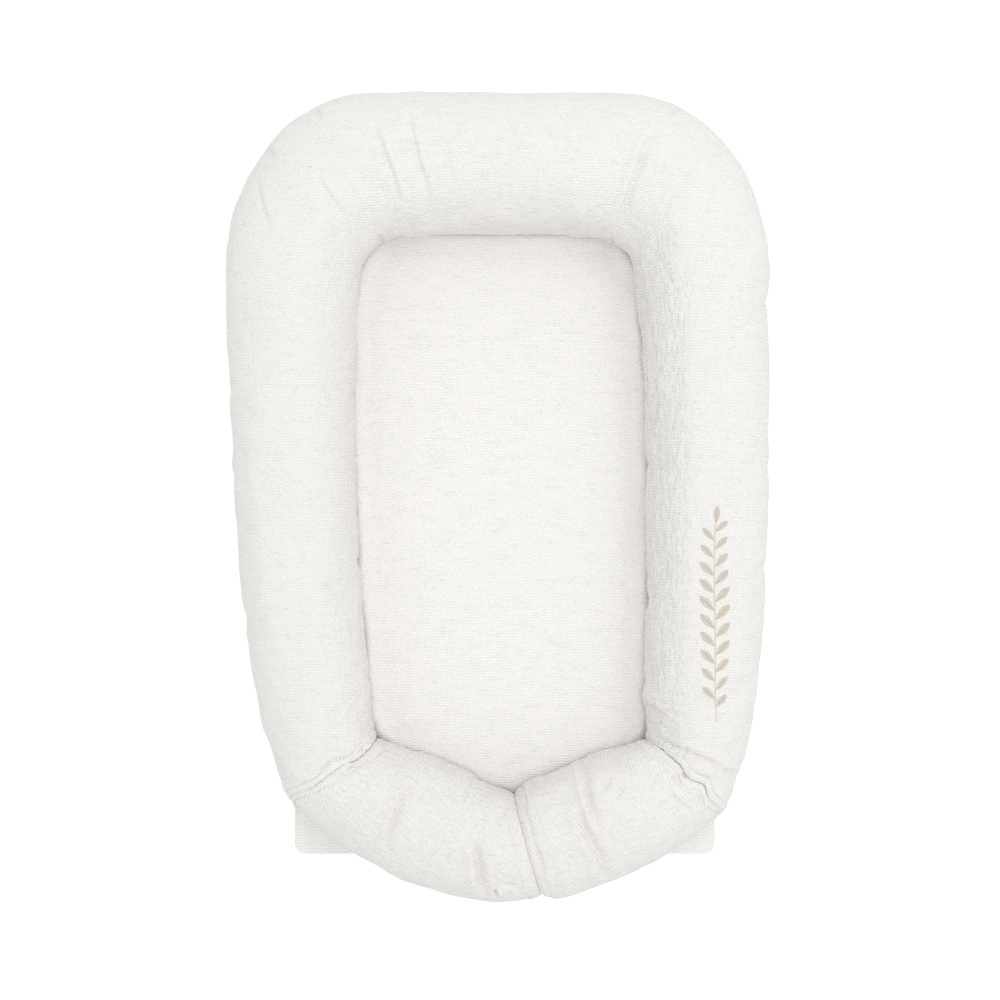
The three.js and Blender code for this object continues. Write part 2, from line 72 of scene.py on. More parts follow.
# The bolster and its folded ends
ARM_HALF_WIDTH, BOLSTER_HEIGHT, BOLSTER_SEAT = 62, 112, 17.8
END_HALF_WIDTH, END_HEIGHT, END_SEAT = 60, 100, 16.3
BOLSTER_CREST, END_CREST, SEAM_CREST = 122, 112, 108
PLEAT_REACH = 6.5
ARM_STATION, END_STATION = 4.6, 4.2
LEFT_X, RIGHT_X, HEAD_Y, SHOULDER_Y = -213.5, 198, 343, 193
CORNER_REACH, CORNER_DROP = 92, 150
RISE_SHARE, TURN_SHARE = 0.58, 0.68
SECTION_POWER = 2.2
SEAT_SHARE = 0.84
LEFT_CREASE, RIGHT_CREASE = np.array([-170.5, -265.0]), np.array([180.0, -269.0])
LEFT_SLANT, RIGHT_SLANT, TIP_LEAN = math.radians(37), math.radians(41), math.radians(15.7)
TIP = np.array([23.0, -339.0])
LEFT_ARM_BENDS = (LEFT_CREASE + (-24.5, 50), (-212, -60))
RIGHT_ARM_BENDS = ((208, 0), RIGHT_CREASE + (20, 54))
TURN_START, TURN_REACH = 9, 85
LEFT_RIBS, RIGHT_RIBS = math.radians(60), math.radians(-60.5)
SIDES = 72

# The cloth bunches at the head's two inner corners, which it rounds off: the centre and radius of each arc
LEFT_CORNER, RIGHT_CORNER = ((-93, 214), 56), ((80, 212), 57)
LEFT_CUSP, RIGHT_CUSP = (-126, 262), (110, 258)

# At a crease the cloth dips to a shallow valley, and the two lips all but touch. Each end of a tube has how
# far its lip stays from the middle of the valley, how deep the valley is, and how wide its slope is.
CREASE_LIP, TIP_LIP = (0.03, 3.2, 8), (0.08, 7, 13)
CREASE_DISH, TIP_DISH = 2.8, 1.15
CREASE_REACH = 80

# The filling: how slim a cover starts, how hard it is pressed, how loose its cloth is, for how many frames
# the cloth moves, and how far at most
START_SLIMMER, PRESSURE, CLOTH_SLACK, SWELL_FRAMES, SWELL_CAP = 3.0, 4.0, 0.02, 20, 7

# How far each seam strays towards the arm, by the distance along the crease from its middle
LEFT_BOW = [(-56, 0), (-44, 8.5), (-36, 8.5), (-18, 4.5), (14, 4.5), (34, -1.5), (50, 0)]
RIGHT_BOW = [(-52, 0), (-24, 1.5), (-11, 8), (4, 3.3), (20, 7.2), (38, 6.6), (55, 2.8)]

# How much of each seam's valley is filled out, by the same distance
LEFT_FILL = [(-46, 0), (-30, 0.65), (12, 0.65), (26, 0)]
RIGHT_FILL = [(-60, 0.9), (-30, 0.9), (-18, 0.2), (-8, 0)]

# Each table pairs a share of the length with a share of the width or height.
ARM_WIDTHS = [(0, .88), (.04, .9), (.1, .95), (.2, .99), (.28, 1.01), (.35, 1.13), (.4, 1.13), (.45, 1.11),
              (.5, 1.1)]
ARM_HEIGHTS = [(0, .86), (.1, .96), (.25, 1), (.365, 1.04), (.5, 1.03)]
END_WIDTHS = [(0, .92), (.45, 1.02), (.85, 1), (1, .96)]
END_HEIGHTS = [(0, .96), (.5, 1), (.85, 1), (1, .95)]


def linear(colour):
    """An sRGB hex colour as the linear values that a shader takes."""
    channels = [int(colour[i:i + 2], 16) / 255 for i in (1, 3, 5)]
    return [c / 12.92 if c <= 0.04045 else ((c + 0.055) / 1.055) ** 2.4 for c in channels] + [1.0]


def node(tree, kind, inputs=None, **settings):
    """Adds a node with its settings, and gives each named input a value or a link."""
    made = tree.nodes.new(kind)
    for name, value in settings.items():
        setattr(made, name, value)
    for name, value in (inputs or {}).items():
        socket = made.inputs[name]
        if isinstance(value, bpy.types.NodeSocket):
            tree.links.new(value, socket)
        else:
            socket.default_value = value
    return made


def new_material(name, roughness):
    """A material with its tree, its shader, and the coordinates of the object that wears it."""
    material = bpy.data.materials.new(name)
    material.use_nodes = True
    tree = material.node_tree
    shader = tree.nodes["Principled BSDF"]
    shader.inputs["Roughness"].default_value = roughness
    return material, tree, shader, node(tree, "ShaderNodeTexCoord").outputs["Object"]


def wave_scale(pitch):
    """The scale that gives a wave texture a pitch in millimetres."""
    return 2 * math.pi / (20 * pitch * MM)


def surfaced(tree, shader, share, dark, light, height, depth):
    """Gives a shader a colour between two, by a share, and a relief of a depth in millimetres."""
    colour = node(tree, "ShaderNodeMix", {
        "Factor": share, "A": linear(dark), "B": linear(light)}, data_type="RGBA").outputs[2]
    bump = node(tree, "ShaderNodeBump", {"Height": height, "Distance": depth * MM, "Strength": 1.0})
    tree.links.new(colour, shader.inputs["Base Color"])
    tree.links.new(bump.outputs["Normal"], shader.inputs["Normal"])


# Materials

SINE_BANDS = {"wave_type": "BANDS", "wave_profile": "SIN"}


def crinkle_cotton(name, follows_cloth, rib_pitch, crest, valley, rib_depth, crinkle):
    """Washed cotton seersucker: fine raised ribs that waver and break, over small soft blisters. The ribs
    give the eye a close, broken ruling, the blisters a matt, crumpled light, and puckers a ruffle."""
    material, tree, shader, place = new_material(name, 0.92)
    shader.inputs["Sheen Weight"].default_value = 0.06
    shader.inputs["Specular IOR Level"].default_value = 0.2
    if follows_cloth:
        place = node(tree, "ShaderNodeAttribute", attribute_name="cloth").outputs["Vector"]

    def patches(size_x, size_y, detail, roughness, where=place, distortion=0.0):
        """Soft patches of a size in millimetres across and along the cloth."""
        scale = (1 / (size_x * MM), 1 / (size_y * MM), 1 / (size_y * MM))
        stretched = node(tree, "ShaderNodeMapping", {"Vector": where, "Scale": scale}).outputs["Vector"]
        return node(tree, "ShaderNodeTexNoise", {
            "Vector": stretched, "Scale": 1.0, "Detail": detail, "Roughness": roughness,
            "Distortion": distortion}).outputs["Fac"]

    ribs = node(tree, "ShaderNodeTexWave", {
        "Vector": place, "Scale": wave_scale(rib_pitch), "Distortion": 3.2, "Detail": 3.0,
        "Detail Scale": 0.7, "Detail Roughness": 0.65}, bands_direction="Y", **SINE_BANDS).outputs["Fac"]
    strength = node(tree, "ShaderNodeMapRange", {
        "Value": patches(26, 8, 3.0, 0.6), "From Min": 0.35, "From Max": 0.65, "To Min": 0.35})
    breaks = node(tree, "ShaderNodeMapRange", {
        "Value": patches(3.4, 1.5, 2.0, 0.6), "From Min": 0.3, "From Max": 0.62, "To Min": 0.1})
    uneven = node(tree, "ShaderNodeMath", {0: ribs, 1: strength.outputs["Result"]}, operation="MULTIPLY")
    broken = node(tree, "ShaderNodeMath", {
        0: uneven.outputs["Value"], 1: breaks.outputs["Result"]}, operation="MULTIPLY").outputs["Value"]
    threads = patches(1.1, 1.1, 2.0, 0.7)
    fine = node(tree, "ShaderNodeMath", {0: threads, 1: 0.12}, operation="MULTIPLY").outputs["Value"]
    relief = [(broken, rib_depth), (patches(7, 11, 3.0, 0.6, distortion=0.5), crinkle)]
    if follows_cloth:
        lay = node(tree, "ShaderNodeAttribute", attribute_name="lay").outputs["Vector"]
        metres = node(tree, "ShaderNodeMapping", {"Vector": lay, "Scale": (MM, MM, 0)}).outputs["Vector"]
        puckers = patches(3.6, 10, 2.0, 0.55, where=metres, distortion=0.8)
        pucker = node(tree, "ShaderNodeAttribute", attribute_name="pucker").outputs["Fac"]
        ruffle = node(tree, "ShaderNodeMath", {0: puckers, 1: pucker}, operation="MULTIPLY")
        relief.append((ruffle.outputs["Value"], 2.8))
    height = fine
    for pattern, depth in relief:
        height = node(tree, "ShaderNodeMath", {
            0: pattern, 1: depth, 2: height}, operation="MULTIPLY_ADD").outputs["Value"]
    # The colour follows the relief: darker down the rib valleys and the fine threads, which is painted shade
    # in the hollows of the cloth.
    shade = node(tree, "ShaderNodeMath", {0: threads, 1: 0.5, 2: broken}, operation="MULTIPLY_ADD")
    painted_relief_shade = node(tree, "ShaderNodeMapRange", {
        "Value": shade.outputs["Value"], "From Min": 0.1, "From Max": 0.9}).outputs["Result"]
    surfaced(tree, shader, painted_relief_shade, valley, crest, height, 1)
    return material


def plain_weave(name, light, dark, thread_pitch, depth, roughness):
    """A plain weave of round threads, over and under, which gives a fine matt grid."""
    material, tree, shader, place = new_material(name, roughness)
    weft, warp = [node(tree, "ShaderNodeTexWave", {
        "Vector": place, "Scale": wave_scale(thread_pitch), "Distortion": 0.7, "Detail": 1.0,
        "Detail Scale": 0.8}, bands_direction=way, **SINE_BANDS).outputs["Fac"] for way in ("X", "Y")]
    crossing = node(tree, "ShaderNodeMath", {0: weft, 1: warp}, operation="MAXIMUM").outputs["Value"]
    slubs = node(tree, "ShaderNodeTexNoise", {
        "Vector": place, "Scale": 160.0, "Detail": 4.0, "Roughness": 0.6}).outputs["Fac"]
    # The colour follows the height: darker where the threads dip, which is painted shade between them; the
    # slubs add an uneven tone of their own.
    height = node(tree, "ShaderNodeMath", {
        0: slubs, 1: 0.6, 2: crossing}, operation="MULTIPLY_ADD").outputs["Value"]
    painted_relief_shade = node(tree, "ShaderNodeMapRange", {"Value": height, "From Min": 0.3, "From Max": 1.4})
    surfaced(tree, shader, painted_relief_shade.outputs["Result"], dark, light, height, depth)
    return material


def spun_thread(name, light, dark, twist_pitch, sheen):
    """Two-ply thread: the twist shows as fine slanting bands of light and shade with a soft gloss."""
    material, tree, shader, place = new_material(name, 0.5)
    shader.inputs["Sheen Weight"].default_value = sheen
    slanted = node(tree, "ShaderNodeMapping", {
        "Vector": place, "Rotation": (0.5, 0.4, 0.9)}).outputs["Vector"]
    plies = node(tree, "ShaderNodeTexWave", {
        "Vector": slanted, "Scale": wave_scale(twist_pitch), "Distortion": 1.2, "Detail": 1.0,
    }, bands_direction="X", **SINE_BANDS).outputs["Fac"]
    surfaced(tree, shader, plies, dark, light, plies, 0.08)
    return material


def moulded_nylon(name, colour, wear):
    """Nylon monofilament: smooth and slightly clear, with a faint mottle from moulding."""
    material, tree, shader, place = new_material(name, 0.38)
    shader.inputs["IOR"].default_value = 1.53
    mottle = node(tree, "ShaderNodeTexNoise", {
        "Vector": place, "Scale": 900.0, "Detail": 3.0}).outputs["Fac"]
    surfaced(tree, shader, mottle, wear, colour, mottle, 0.02)
    return material


def lacquered_zinc(name, colour, worn):
    """Die-cast zinc under cream lacquer: a soft gloss with a light orange peel, thinner on the corners."""
    material, tree, shader, place = new_material(name, 0.3)
    shader.inputs["Coat Weight"].default_value = 0.5
    peel = node(tree, "ShaderNodeTexNoise", {
        "Vector": place, "Scale": 1400.0, "Detail": 2.0}).outputs["Fac"]
    edges = node(tree, "ShaderNodeNewGeometry").outputs["Pointiness"]
    rubbed = node(tree, "ShaderNodeMapRange", {"Value": edges, "From Min": 0.52, "From Max": 0.62})
    surfaced(tree, shader, rubbed.outputs["Result"], colour, worn, peel, 0.015)
    return material


# Each crinkle cotton has a crest colour and a valley colour; the valley colour is painted shade in the rib
# hollows.
bolster_cotton = crinkle_cotton("crinkle_cotton_bolster", True, 2.62, "#F8F7F5", "#E4E1DD", 0.7, 1.5)
# The mat is the same crinkle cotton as the bolster, painted lighter: painted light that makes up for the
# shade the bolster casts on the pad.
mat_cotton_painted_lighter = crinkle_cotton("crinkle_cotton_mat_painted_lighter", False, 2.72, "#FFFEFC", "#EAE7E3", 0.75, 1.0)
lining = plain_weave("lining_calico", "#F2EFE9", "#E3DED5", 1.1, 0.12, 0.88)
twill_tape = plain_weave("woven_twill_tape", "#ECE7DD", "#D9D2C4", 0.9, 0.15, 0.88)
touch_tape = plain_weave("hook_and_loop_pile", "#EFEAE0", "#D2C9B8", 0.7, 0.3, 0.95)
sewing_thread = spun_thread("polyester_sewing_thread", "#F1EDE4", "#CFC6B6", 0.5, 0.1)
satin_thread = spun_thread("rayon_embroidery_thread", "#E4DACD", "#CFC2B1", 0.6, 0.25)
coil_nylon = moulded_nylon("nylon_monofilament", "#EDE8DD", "#DDD5C6")
zinc = lacquered_zinc("cream_lacquered_zinc", "#E6E0D4", "#BDB8B0")


# Routes and sections

def bezier(*points):
    """A finely sampled curve from two, three or four control points."""
    share = np.linspace(0, 1, 241)[:, None]
    work = [np.array(p, float)[None, :].repeat(len(share), 0) for p in points]
    while len(work) > 1:
        work = [a + (b - a) * share for a, b in zip(work, work[1:])]
    return work[0]


def smoothstep(value, low, high):
    share = np.clip((value - low) / (high - low), 0, 1)
    return share * share * (3 - 2 * share)


def eased(table, share):
    """Reads a table at a share, easing from one entry to the next."""
    share = np.asarray(share, float)
    result = np.full(share.shape, float(table[0][1]))
    for (start, low), (end, high) in zip(table, table[1:]):
        result = np.where(share > start, low + (high - low) * smoothstep(share, start, end), result)
    return result


def bolster_route():
    """The way of the bolster, from the left crease round the head to the right one."""
    rise, reach = RISE_SHARE * CORNER_DROP, (1 - TURN_SHARE) * CORNER_REACH
    left_head, right_head = (LEFT_X + CORNER_REACH, HEAD_Y), (RIGHT_X - CORNER_REACH, HEAD_Y)
    left, right = (LEFT_X, SHOULDER_Y), (RIGHT_X, SHOULDER_Y)
    return np.vstack([
        bezier(LEFT_CREASE, *LEFT_ARM_BENDS, left),
        bezier(left, (LEFT_X, SHOULDER_Y + rise), (LEFT_X + reach, HEAD_Y), left_head)[1:],
        bezier(left_head, right_head)[1:],
        bezier(right_head, (RIGHT_X - reach, HEAD_Y), (RIGHT_X, SHOULDER_Y + rise), right)[1:],
        bezier(right, *RIGHT_ARM_BENDS, RIGHT_CREASE)[1:],
    ])


def section(turn):
    """A fairly round tube section of half width and half height 1, from the crest round."""
    power = 2 / SECTION_POWER
    return [np.sign(part) * np.abs(part) ** power for part in (np.sin(turn), np.cos(turn))]


def end_route(crease, reach_share, sag):
    """The way of a folded end from its crease to the tips, which sags towards the foot."""
    bend = crease + (TIP - crease) * reach_share - (0, sag)
    return bezier(crease, bend, TIP)


def distances(path):
    """How far along a path each of its points is."""
    return np.concatenate([[0], np.cumsum(np.linalg.norm(np.diff(path, axis=0), axis=1))])


def point_at(path, run, at):
    """The point of a path at a distance along it, from the distances of its points."""
    return np.array([np.interp(at, run, path[:, k]) for k in (0, 1)])


def left_of(way):
    return np.array([-way[1], way[0]])


# A crease, and the seam where both tips meet, has its middle, the unit vector along it towards the pad,
# and its side: -1 on the left and 1 on the right.
LEFT_ACROSS = np.array([math.cos(LEFT_SLANT), math.sin(LEFT_SLANT)])
RIGHT_ACROSS = np.array([-math.cos(RIGHT_SLANT), math.sin(RIGHT_SLANT)])
TIP_ACROSS = np.array([-math.sin(TIP_LEAN), math.cos(TIP_LEAN)])
LEFT, RIGHT = (LEFT_CREASE, LEFT_ACROSS, -1), (RIGHT_CREASE, RIGHT_ACROSS, 1)
TIP_SEAM = (TIP, TIP_ACROSS, 1)


def stuffed_tube(route, start, end, inward, width, height, seat, widths, heights, mirrored, spacing):
    """The sections of a stuffed tube: points, one ring to a station, and each point's place on the flat
    cloth. start and end give the direction of each end's plane, and its lip."""
    travelled = distances(route)
    length = travelled[-1]

    def heading(at):
        way = point_at(route, travelled, at + 1) - point_at(route, travelled, at - 1)
        return way / np.linalg.norm(way, axis=0)

    def slack(side, at):
        way = heading(np.array([at]))[:, 0]
        return abs(way[0] * side[0][1] - way[1] * side[0][0])

    from_start, from_end = 1 / slack(start, 1.0), 1 / slack(end, length - 1.0)
    # The stations stand closer near both ends, where the cloth dips to the seam.
    near = np.concatenate([[0, 0.12, 0.9], np.arange(2.2, 18, 1.8), np.arange(18, 40, 3.0)])
    (start_gap, start_dip, start_slope), (end_gap, end_dip, end_slope) = start[1], end[1]
    first, last = (start_gap + near[-1]) * from_start, (end_gap + near[-1]) * from_end
    middle = np.linspace(first, length - last, int((length - first - last) / spacing))[1:-1]
    along = np.concatenate([
        (start_gap + near) * from_start, middle, length - (end_gap + near[::-1]) * from_end])
    past_start, past_end = along / from_start - start_gap, (length - along) / from_end - end_gap
    centre = point_at(route, travelled, along).T
    way = heading(along).T
    square = np.stack([way[:, 1], -way[:, 0]], 1) * inward
    near_start = 1 - smoothstep(along, TURN_START, TURN_START + TURN_REACH)
    near_end = smoothstep(along, length - TURN_START - TURN_REACH, length - TURN_START)
    across = square * (1 - near_start - near_end)[:, None]
    across += np.outer(near_start, start[0]) + np.outer(near_end, end[0])
    across /= np.linalg.norm(across, axis=1)[:, None]
    whole = along / length
    share = np.minimum(whole, 1 - whole) if mirrored else whole
    drawn_in = start_dip * np.maximum(1 - past_start / start_slope, 0) ** 2
    drawn_in += end_dip * np.maximum(1 - past_end / end_slope, 0) ** 2
    half_width = width * eased(widths, share) - drawn_in
    tall = height * eased(heights, share)
    half_height = tall / (1 + SEAT_SHARE)
    mid_height = seat + tall - half_height
    half_height = half_height - drawn_in
    side_x, side_z = section(np.linspace(0, 2 * math.pi, 721))
    rings, cloth, lay = [], [], []
    for i in range(len(along)):
        x = side_x * half_width[i]
        z = np.maximum(mid_height[i] + side_z * half_height[i], seat)
        # The points stand at even distances round the section.
        run = np.concatenate([[0], np.cumsum(np.hypot(np.diff(x), np.diff(z)))])
        marks = np.linspace(0, run[-1], SIDES + 1)
        x, z = np.interp(marks, run, x), np.interp(marks, run, z)
        unrolled = np.where(marks <= run[-1] / 2, marks, marks - run[-1])
        rings.append(np.column_stack([centre[i][0] + across[i][0] * x, centre[i][1] + across[i][1] * x, z]))
        cloth.append(np.column_stack([centre[i] + np.outer(unrolled, across[i]), np.zeros(SIDES + 1)]))
        lay.append(np.column_stack([unrolled, np.full(SIDES + 1, along[i]), np.full(SIDES + 1, whole[i])]))
    return np.array(rings), np.array(cloth), np.array(lay)


def rolled_sheet(name, rings, cloth, lay, start_dish, end_dish):
    """A sheet of cloth rolled into a tube, its long edges joined and its two ends closed. Each end is dished
    inwards, so that its lips touch the next piece and leave room behind them. Two attributes go with the
    cloth: where each point lay before it was rolled, and how far round and along the tube it is."""
    stations, around = rings.shape[:2]
    form = bmesh.new()
    bmesh.ops.create_grid(form, x_segments=around - 1, y_segments=stations - 1, size=1)
    layers = [form.verts.layers.float_vector.new(word) for word in ("cloth", "lay")]
    for vertex in form.verts:
        j = round((vertex.co.x + 1) / 2 * (around - 1))
        i = round((vertex.co.y + 1) / 2 * (stations - 1))
        vertex.co = Vector(rings[i, j]) * MM
        vertex[layers[0]] = Vector(cloth[i, j]) * MM
        vertex[layers[1]] = Vector(lay[i, j])
    bmesh.ops.remove_doubles(form, verts=form.verts, dist=0.02 * MM)
    open_edges = [edge for edge in form.edges if edge.is_boundary]
    capped = bmesh.ops.holes_fill(form, edges=open_edges, sides=0)["faces"]
    first, second = rings[0].mean(0), rings[1].mean(0)
    last, before = rings[-1].mean(0), rings[-2].mean(0)
    # Each step has its inset, its sink at the start and at the end, how far it shrinks to the middle, and
    # whether it belongs to the panel within the gathers, which is a flat sheet of its own.
    fine = 0.15
    steps = [(fine, 0.01, 0.01, 1, False), (3.5, start_dish, end_dish, 1, False), (8, 0.3, 0.3, 1, False),
             (fine, 0, 0, 1, False)] + [(fine, 0, 0, shrink, True) for shrink in (1, 1, 0.75, 0.65, 0.5)]
    for inset, start_sink, end_sink, shrink, panel in steps:
        bmesh.ops.inset_individual(form, faces=capped, thickness=inset * MM, use_even_offset=True)
        for face in capped:
            middle = face.calc_center_median()
            place = np.array(middle) / MM
            at_start = np.linalg.norm(place - first) < np.linalg.norm(place - last)
            way = Vector(second - first if at_start else before - last).normalized()
            sink = start_sink if at_start else end_sink
            bmesh.ops.scale(form, verts=face.verts, vec=(shrink, shrink, shrink),
                            space=Matrix.Translation(-middle))
            bmesh.ops.translate(form, verts=face.verts, vec=way * sink * MM)
            if panel:
                across = way.cross(Vector((0, 0, 1)))
                for vertex in face.verts:
                    flat = Vector((vertex.co.dot(across), vertex.co.z, 0))
                    vertex[layers[0]] = flat
                    vertex[layers[1]] = Vector((flat.x / MM, flat.y / MM, vertex[layers[1]].z))
    bmesh.ops.recalc_face_normals(form, faces=form.faces)
    return as_object(name, form)


def linked(name, data):
    made = bpy.data.objects.new(name, data)
    bpy.context.scene.collection.objects.link(made)
    return made


def as_object(name, form):
    mesh = bpy.data.meshes.new(name)
    form.to_mesh(mesh)
    form.free()
    return linked(name, mesh)


def settled(piece):
    """Bakes a piece's modifiers into its mesh."""
    graph = bpy.context.evaluated_depsgraph_get()
    mesh = bpy.data.meshes.new_from_object(piece.evaluated_get(graph), depsgraph=graph)
    piece.modifiers.clear()
    old = piece.data
    piece.data = mesh
    mesh.name = piece.name
    bpy.data.meshes.remove(old)
    return piece


def values_of(items, name, width, kind=float):
    """One row of values for each vertex or edge."""
    flat = np.empty(len(items) * width, kind)
    items.foreach_get(name, flat)
    return flat.reshape(-1, width)


def points_of(mesh):
    return values_of(mesh.vertices, "co", 3)


def normals_of(mesh):
    return values_of(mesh.vertices, "normal", 3)


def move_to(mesh, points):
    mesh.vertices.foreach_set("co", points.ravel())
    mesh.update()


def refined(piece):
    modifier = piece.modifiers.new("smooth", "SUBSURF")
    modifier.levels = modifier.render_levels = 1
    return settled(piece)


def smooth_shaded(piece):
    piece.data.polygons.foreach_set("use_smooth", [True] * len(piece.data.polygons))
    piece.data.update()


def evened(piece, field, rounds):
    """Averages a field of values over neighbouring points, a number of times."""
    first, second = values_of(piece.data.edges, "vertices", 2, int).T
    count = np.bincount(first, minlength=len(field)) + np.bincount(second, minlength=len(field))
    for _ in range(rounds):
        total = np.stack([np.bincount(first, field[second, k], len(field)) +
                          np.bincount(second, field[first, k], len(field)) for k in range(3)], 1)
        field = 0.4 * field + 0.6 * total / np.maximum(count, 1)[:, None]
    return field


def stuffed(piece, held):
    """The piece starts a little slim, no point moves further than a cap, and the folds that form are kept
    while the broad shape goes back to the cut."""
    cut = points_of(piece.data)
    move_to(piece.data, cut - normals_of(piece.data) * ((1 - held) * START_SLIMMER * MM)[:, None])
    before = points_of(piece.data)
    group = piece.vertex_groups.new(name="held")
    for index, weight in enumerate(held):
        if weight > 0:
            group.add([index], float(weight), "REPLACE")
    cloth = piece.modifiers.new("filling", "CLOTH")
    settings = cloth.settings
    settings.quality = 5
    settings.mass = 0.3
    settings.tension_stiffness = settings.compression_stiffness = 15
    settings.shear_stiffness = 5
    settings.bending_stiffness = 0.25
    settings.shrink_min = -CLOTH_SLACK
    settings.use_pressure = True
    settings.uniform_pressure_force = PRESSURE
    settings.vertex_group_mass = "held"
    settings.effector_weights.gravity = 0
    cloth.collision_settings.use_collision = False
    scene = bpy.context.scene
    for number in range(1, SWELL_FRAMES + 1):
        scene.frame_set(number)
    settled(piece)
    scene.frame_set(1)
    moved = points_of(piece.data) - before
    far = np.linalg.norm(moved, axis=1)[:, None]
    swollen = before + moved * np.minimum(1, SWELL_CAP * MM / np.maximum(far, 1e-9))
    move_to(piece.data, swollen + evened(piece, cut - swollen, 50) * (1 - held)[:, None])
    piece.vertex_groups.clear()


def nearest_on(path, plan):
    """For places in plan: the distance to a path, which side of it they are, and how far along it."""
    path = np.array(path, float)
    steps = np.linalg.norm(np.diff(path, axis=0), axis=1)
    nearest = np.full(len(plan), 1e9)
    side, share = np.zeros(len(plan)), np.zeros(len(plan))
    run = 0.0
    for a, b, step in zip(path, path[1:], steps):
        way = (b - a) / step
        along = np.clip((plan - a) @ way, 0, step)
        gap = plan - (a + along[:, None] * way)
        distance = np.linalg.norm(gap, axis=1)
        nearer = distance < nearest
        nearest = np.where(nearer, distance, nearest)
        side = np.where(nearer, way[0] * gap[:, 1] - way[1] * gap[:, 0], side)
        share = np.where(nearer, (run + along) / steps.sum(), share)
        run += step
    return nearest, side, share


def finer(piece, strokes):
    """Gives a piece a closer mesh along its pleats, on the upper side."""
    points, normals = points_of(piece.data), normals_of(piece.data)
    near = np.zeros(len(points), bool)
    for path, *_ in strokes:
        near |= nearest_on(path, points[:, :2] / MM)[0] < PLEAT_REACH
    near &= normals[:, 2] > -0.3
    form = bmesh.new()
    form.from_mesh(piece.data)
    form.verts.ensure_lookup_table()
    chosen = [edge for edge in form.edges if near[edge.verts[0].index] and near[edge.verts[1].index]]
    bmesh.ops.subdivide_edges(form, edges=chosen, cuts=2, use_grid_fill=True)
    form.to_mesh(piece.data)
    form.free()


def pleated(piece, strokes):
    """Presses pleats into a piece's upper side. A stroke is a path in plan, with its depth and half width
    in millimetres: the cloth dips gently to the path from its right, and climbs to a lip on its left."""
    finer(piece, strokes)
    points, normals = points_of(piece.data), normals_of(piece.data)
    change = np.zeros(len(points))
    for path, depth, half in strokes:
        nearest, side, share = nearest_on(path, points[:, :2] / MM)
        taper = np.sin(np.clip(share, 0, 1) * math.pi) ** 0.6
        dip = np.exp(-(nearest / np.where(side > 0, half * 0.7, half * 1.7)) ** 2)
        lip = 0.5 * np.exp(-((side - 2 * half) / (1.4 * half)) ** 2) * (nearest < 6 * half)
        change += depth * taper * (lip - dip)
    facing = smoothstep(normals[:, 2], -0.35, 0.1)
    move_to(piece.data, points + normals * (change * facing)[:, None] * MM)


def softened(piece, centre, radius, rounds):
    """Evens out a piece's form around a place in plan, and leaves the rest as it is."""
    points = points_of(piece.data)
    distance = np.linalg.norm(points[:, :2] / MM - centre, axis=1)
    share = 1 - smoothstep(distance, radius * 0.45, radius)
    share *= smoothstep(points[:, 2] / MM, 20, 40)
    move_to(piece.data, points + (evened(piece, points, rounds) - points) * share[:, None])


def crinkled(piece, amount, size, mask, seed=0.0):
    """Crumples a piece's surface with soft, irregular ripples of a given height and size."""
    points, normals = points_of(piece.data), normals_of(piece.data)
    places = points / (size * MM) + (seed, 0, 0)
    ripple = np.array([noise.noise(Vector(place)) for place in places]) * mask(points / MM, normals)
    move_to(piece.data, points + normals * ripple[:, None] * amount * MM)


def lay_of(piece):
    """Each point's distance round its tube from the crest, its distance along, and its share of the way."""
    return values_of(piece.data.attributes["lay"].data, "vector", 3)


def furrowed(piece, depth, round_size, along_size, strength, seed):
    """Presses winding furrows into a tube, longer along it than round it. strength weighs them."""
    points, normals, lay = points_of(piece.data), normals_of(piece.data), lay_of(piece)
    weight = strength(lay)
    change = np.zeros(len(points))
    for index in np.flatnonzero(weight > 0.01):
        place = Vector((lay[index, 0] / round_size, lay[index, 1] / along_size, seed))
        sway = noise.noise(place * 0.7 + Vector((7, 3, 5)))
        value = noise.noise(place + Vector((sway, 0, 0)))
        change[index] = 0.45 * value - math.exp(-(value / 0.26) ** 2)
    move_to(piece.data, points + normals * (change * weight * depth)[:, None] * MM)


def crease_frame(points, crease):
    """Places relative to a crease: along it towards the pad, and square to it towards the arm."""
    place, across, side = crease
    away = side * np.array([across[1], -across[0]])
    offset = points[:, :2] / MM - place
    return offset @ across, offset @ away, away


def puckered(piece, strength):
    """Marks how strongly the cloth puckers at each point, for the bump that draws the puckers."""
    mark = piece.data.attributes.new("pucker", "FLOAT", "POINT")
    mark.data.foreach_set("value", strength(lay_of(piece)).astype(np.float32))


def clear_of_creases(points, *creases):
    """Nought at the lips of the creases, before they are bowed, and one a little way off."""
    clear = np.ones(len(points))
    for crease in creases:
        u, d = crease_frame(points * MM, crease)[:2]
        clear = np.minimum(clear, np.where(np.abs(u) < CREASE_REACH, smoothstep(np.abs(d), 0.5, 6), 1))
    return clear


def bowed(piece, seat, bow, fill, crease):
    """Lets a seam wander a little on the upper side, as hand sewing does, and fills part of its valley."""
    points = points_of(piece.data)
    u, d, away = crease_frame(points, crease)
    upper = smoothstep(points[:, 2] / MM - seat, 27, 70) * (np.abs(u) < 75)
    gap, dip, slope = CREASE_LIP
    lift = dip * np.maximum(1 - np.maximum(np.abs(d) - gap, 0) / slope, 0) ** 2 * eased(fill, u)
    shift = eased(bow, u) * np.exp(-(d / 26) ** 2)
    points[:, 2] += lift * upper * MM
    points[:, :2] += np.outer(shift * upper, away) * MM
    move_to(piece.data, points)


def dressed(piece, material, body, slot, *nodes):
    """Gives a piece its material, smooth shading and its body, and hides the parts it stands for."""
    piece.data.materials.clear()
    piece.data.materials.append(material)
    smooth_shaded(piece)
    if body:
        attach(piece, body)
    if nodes:
        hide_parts(*nodes)
    return piece


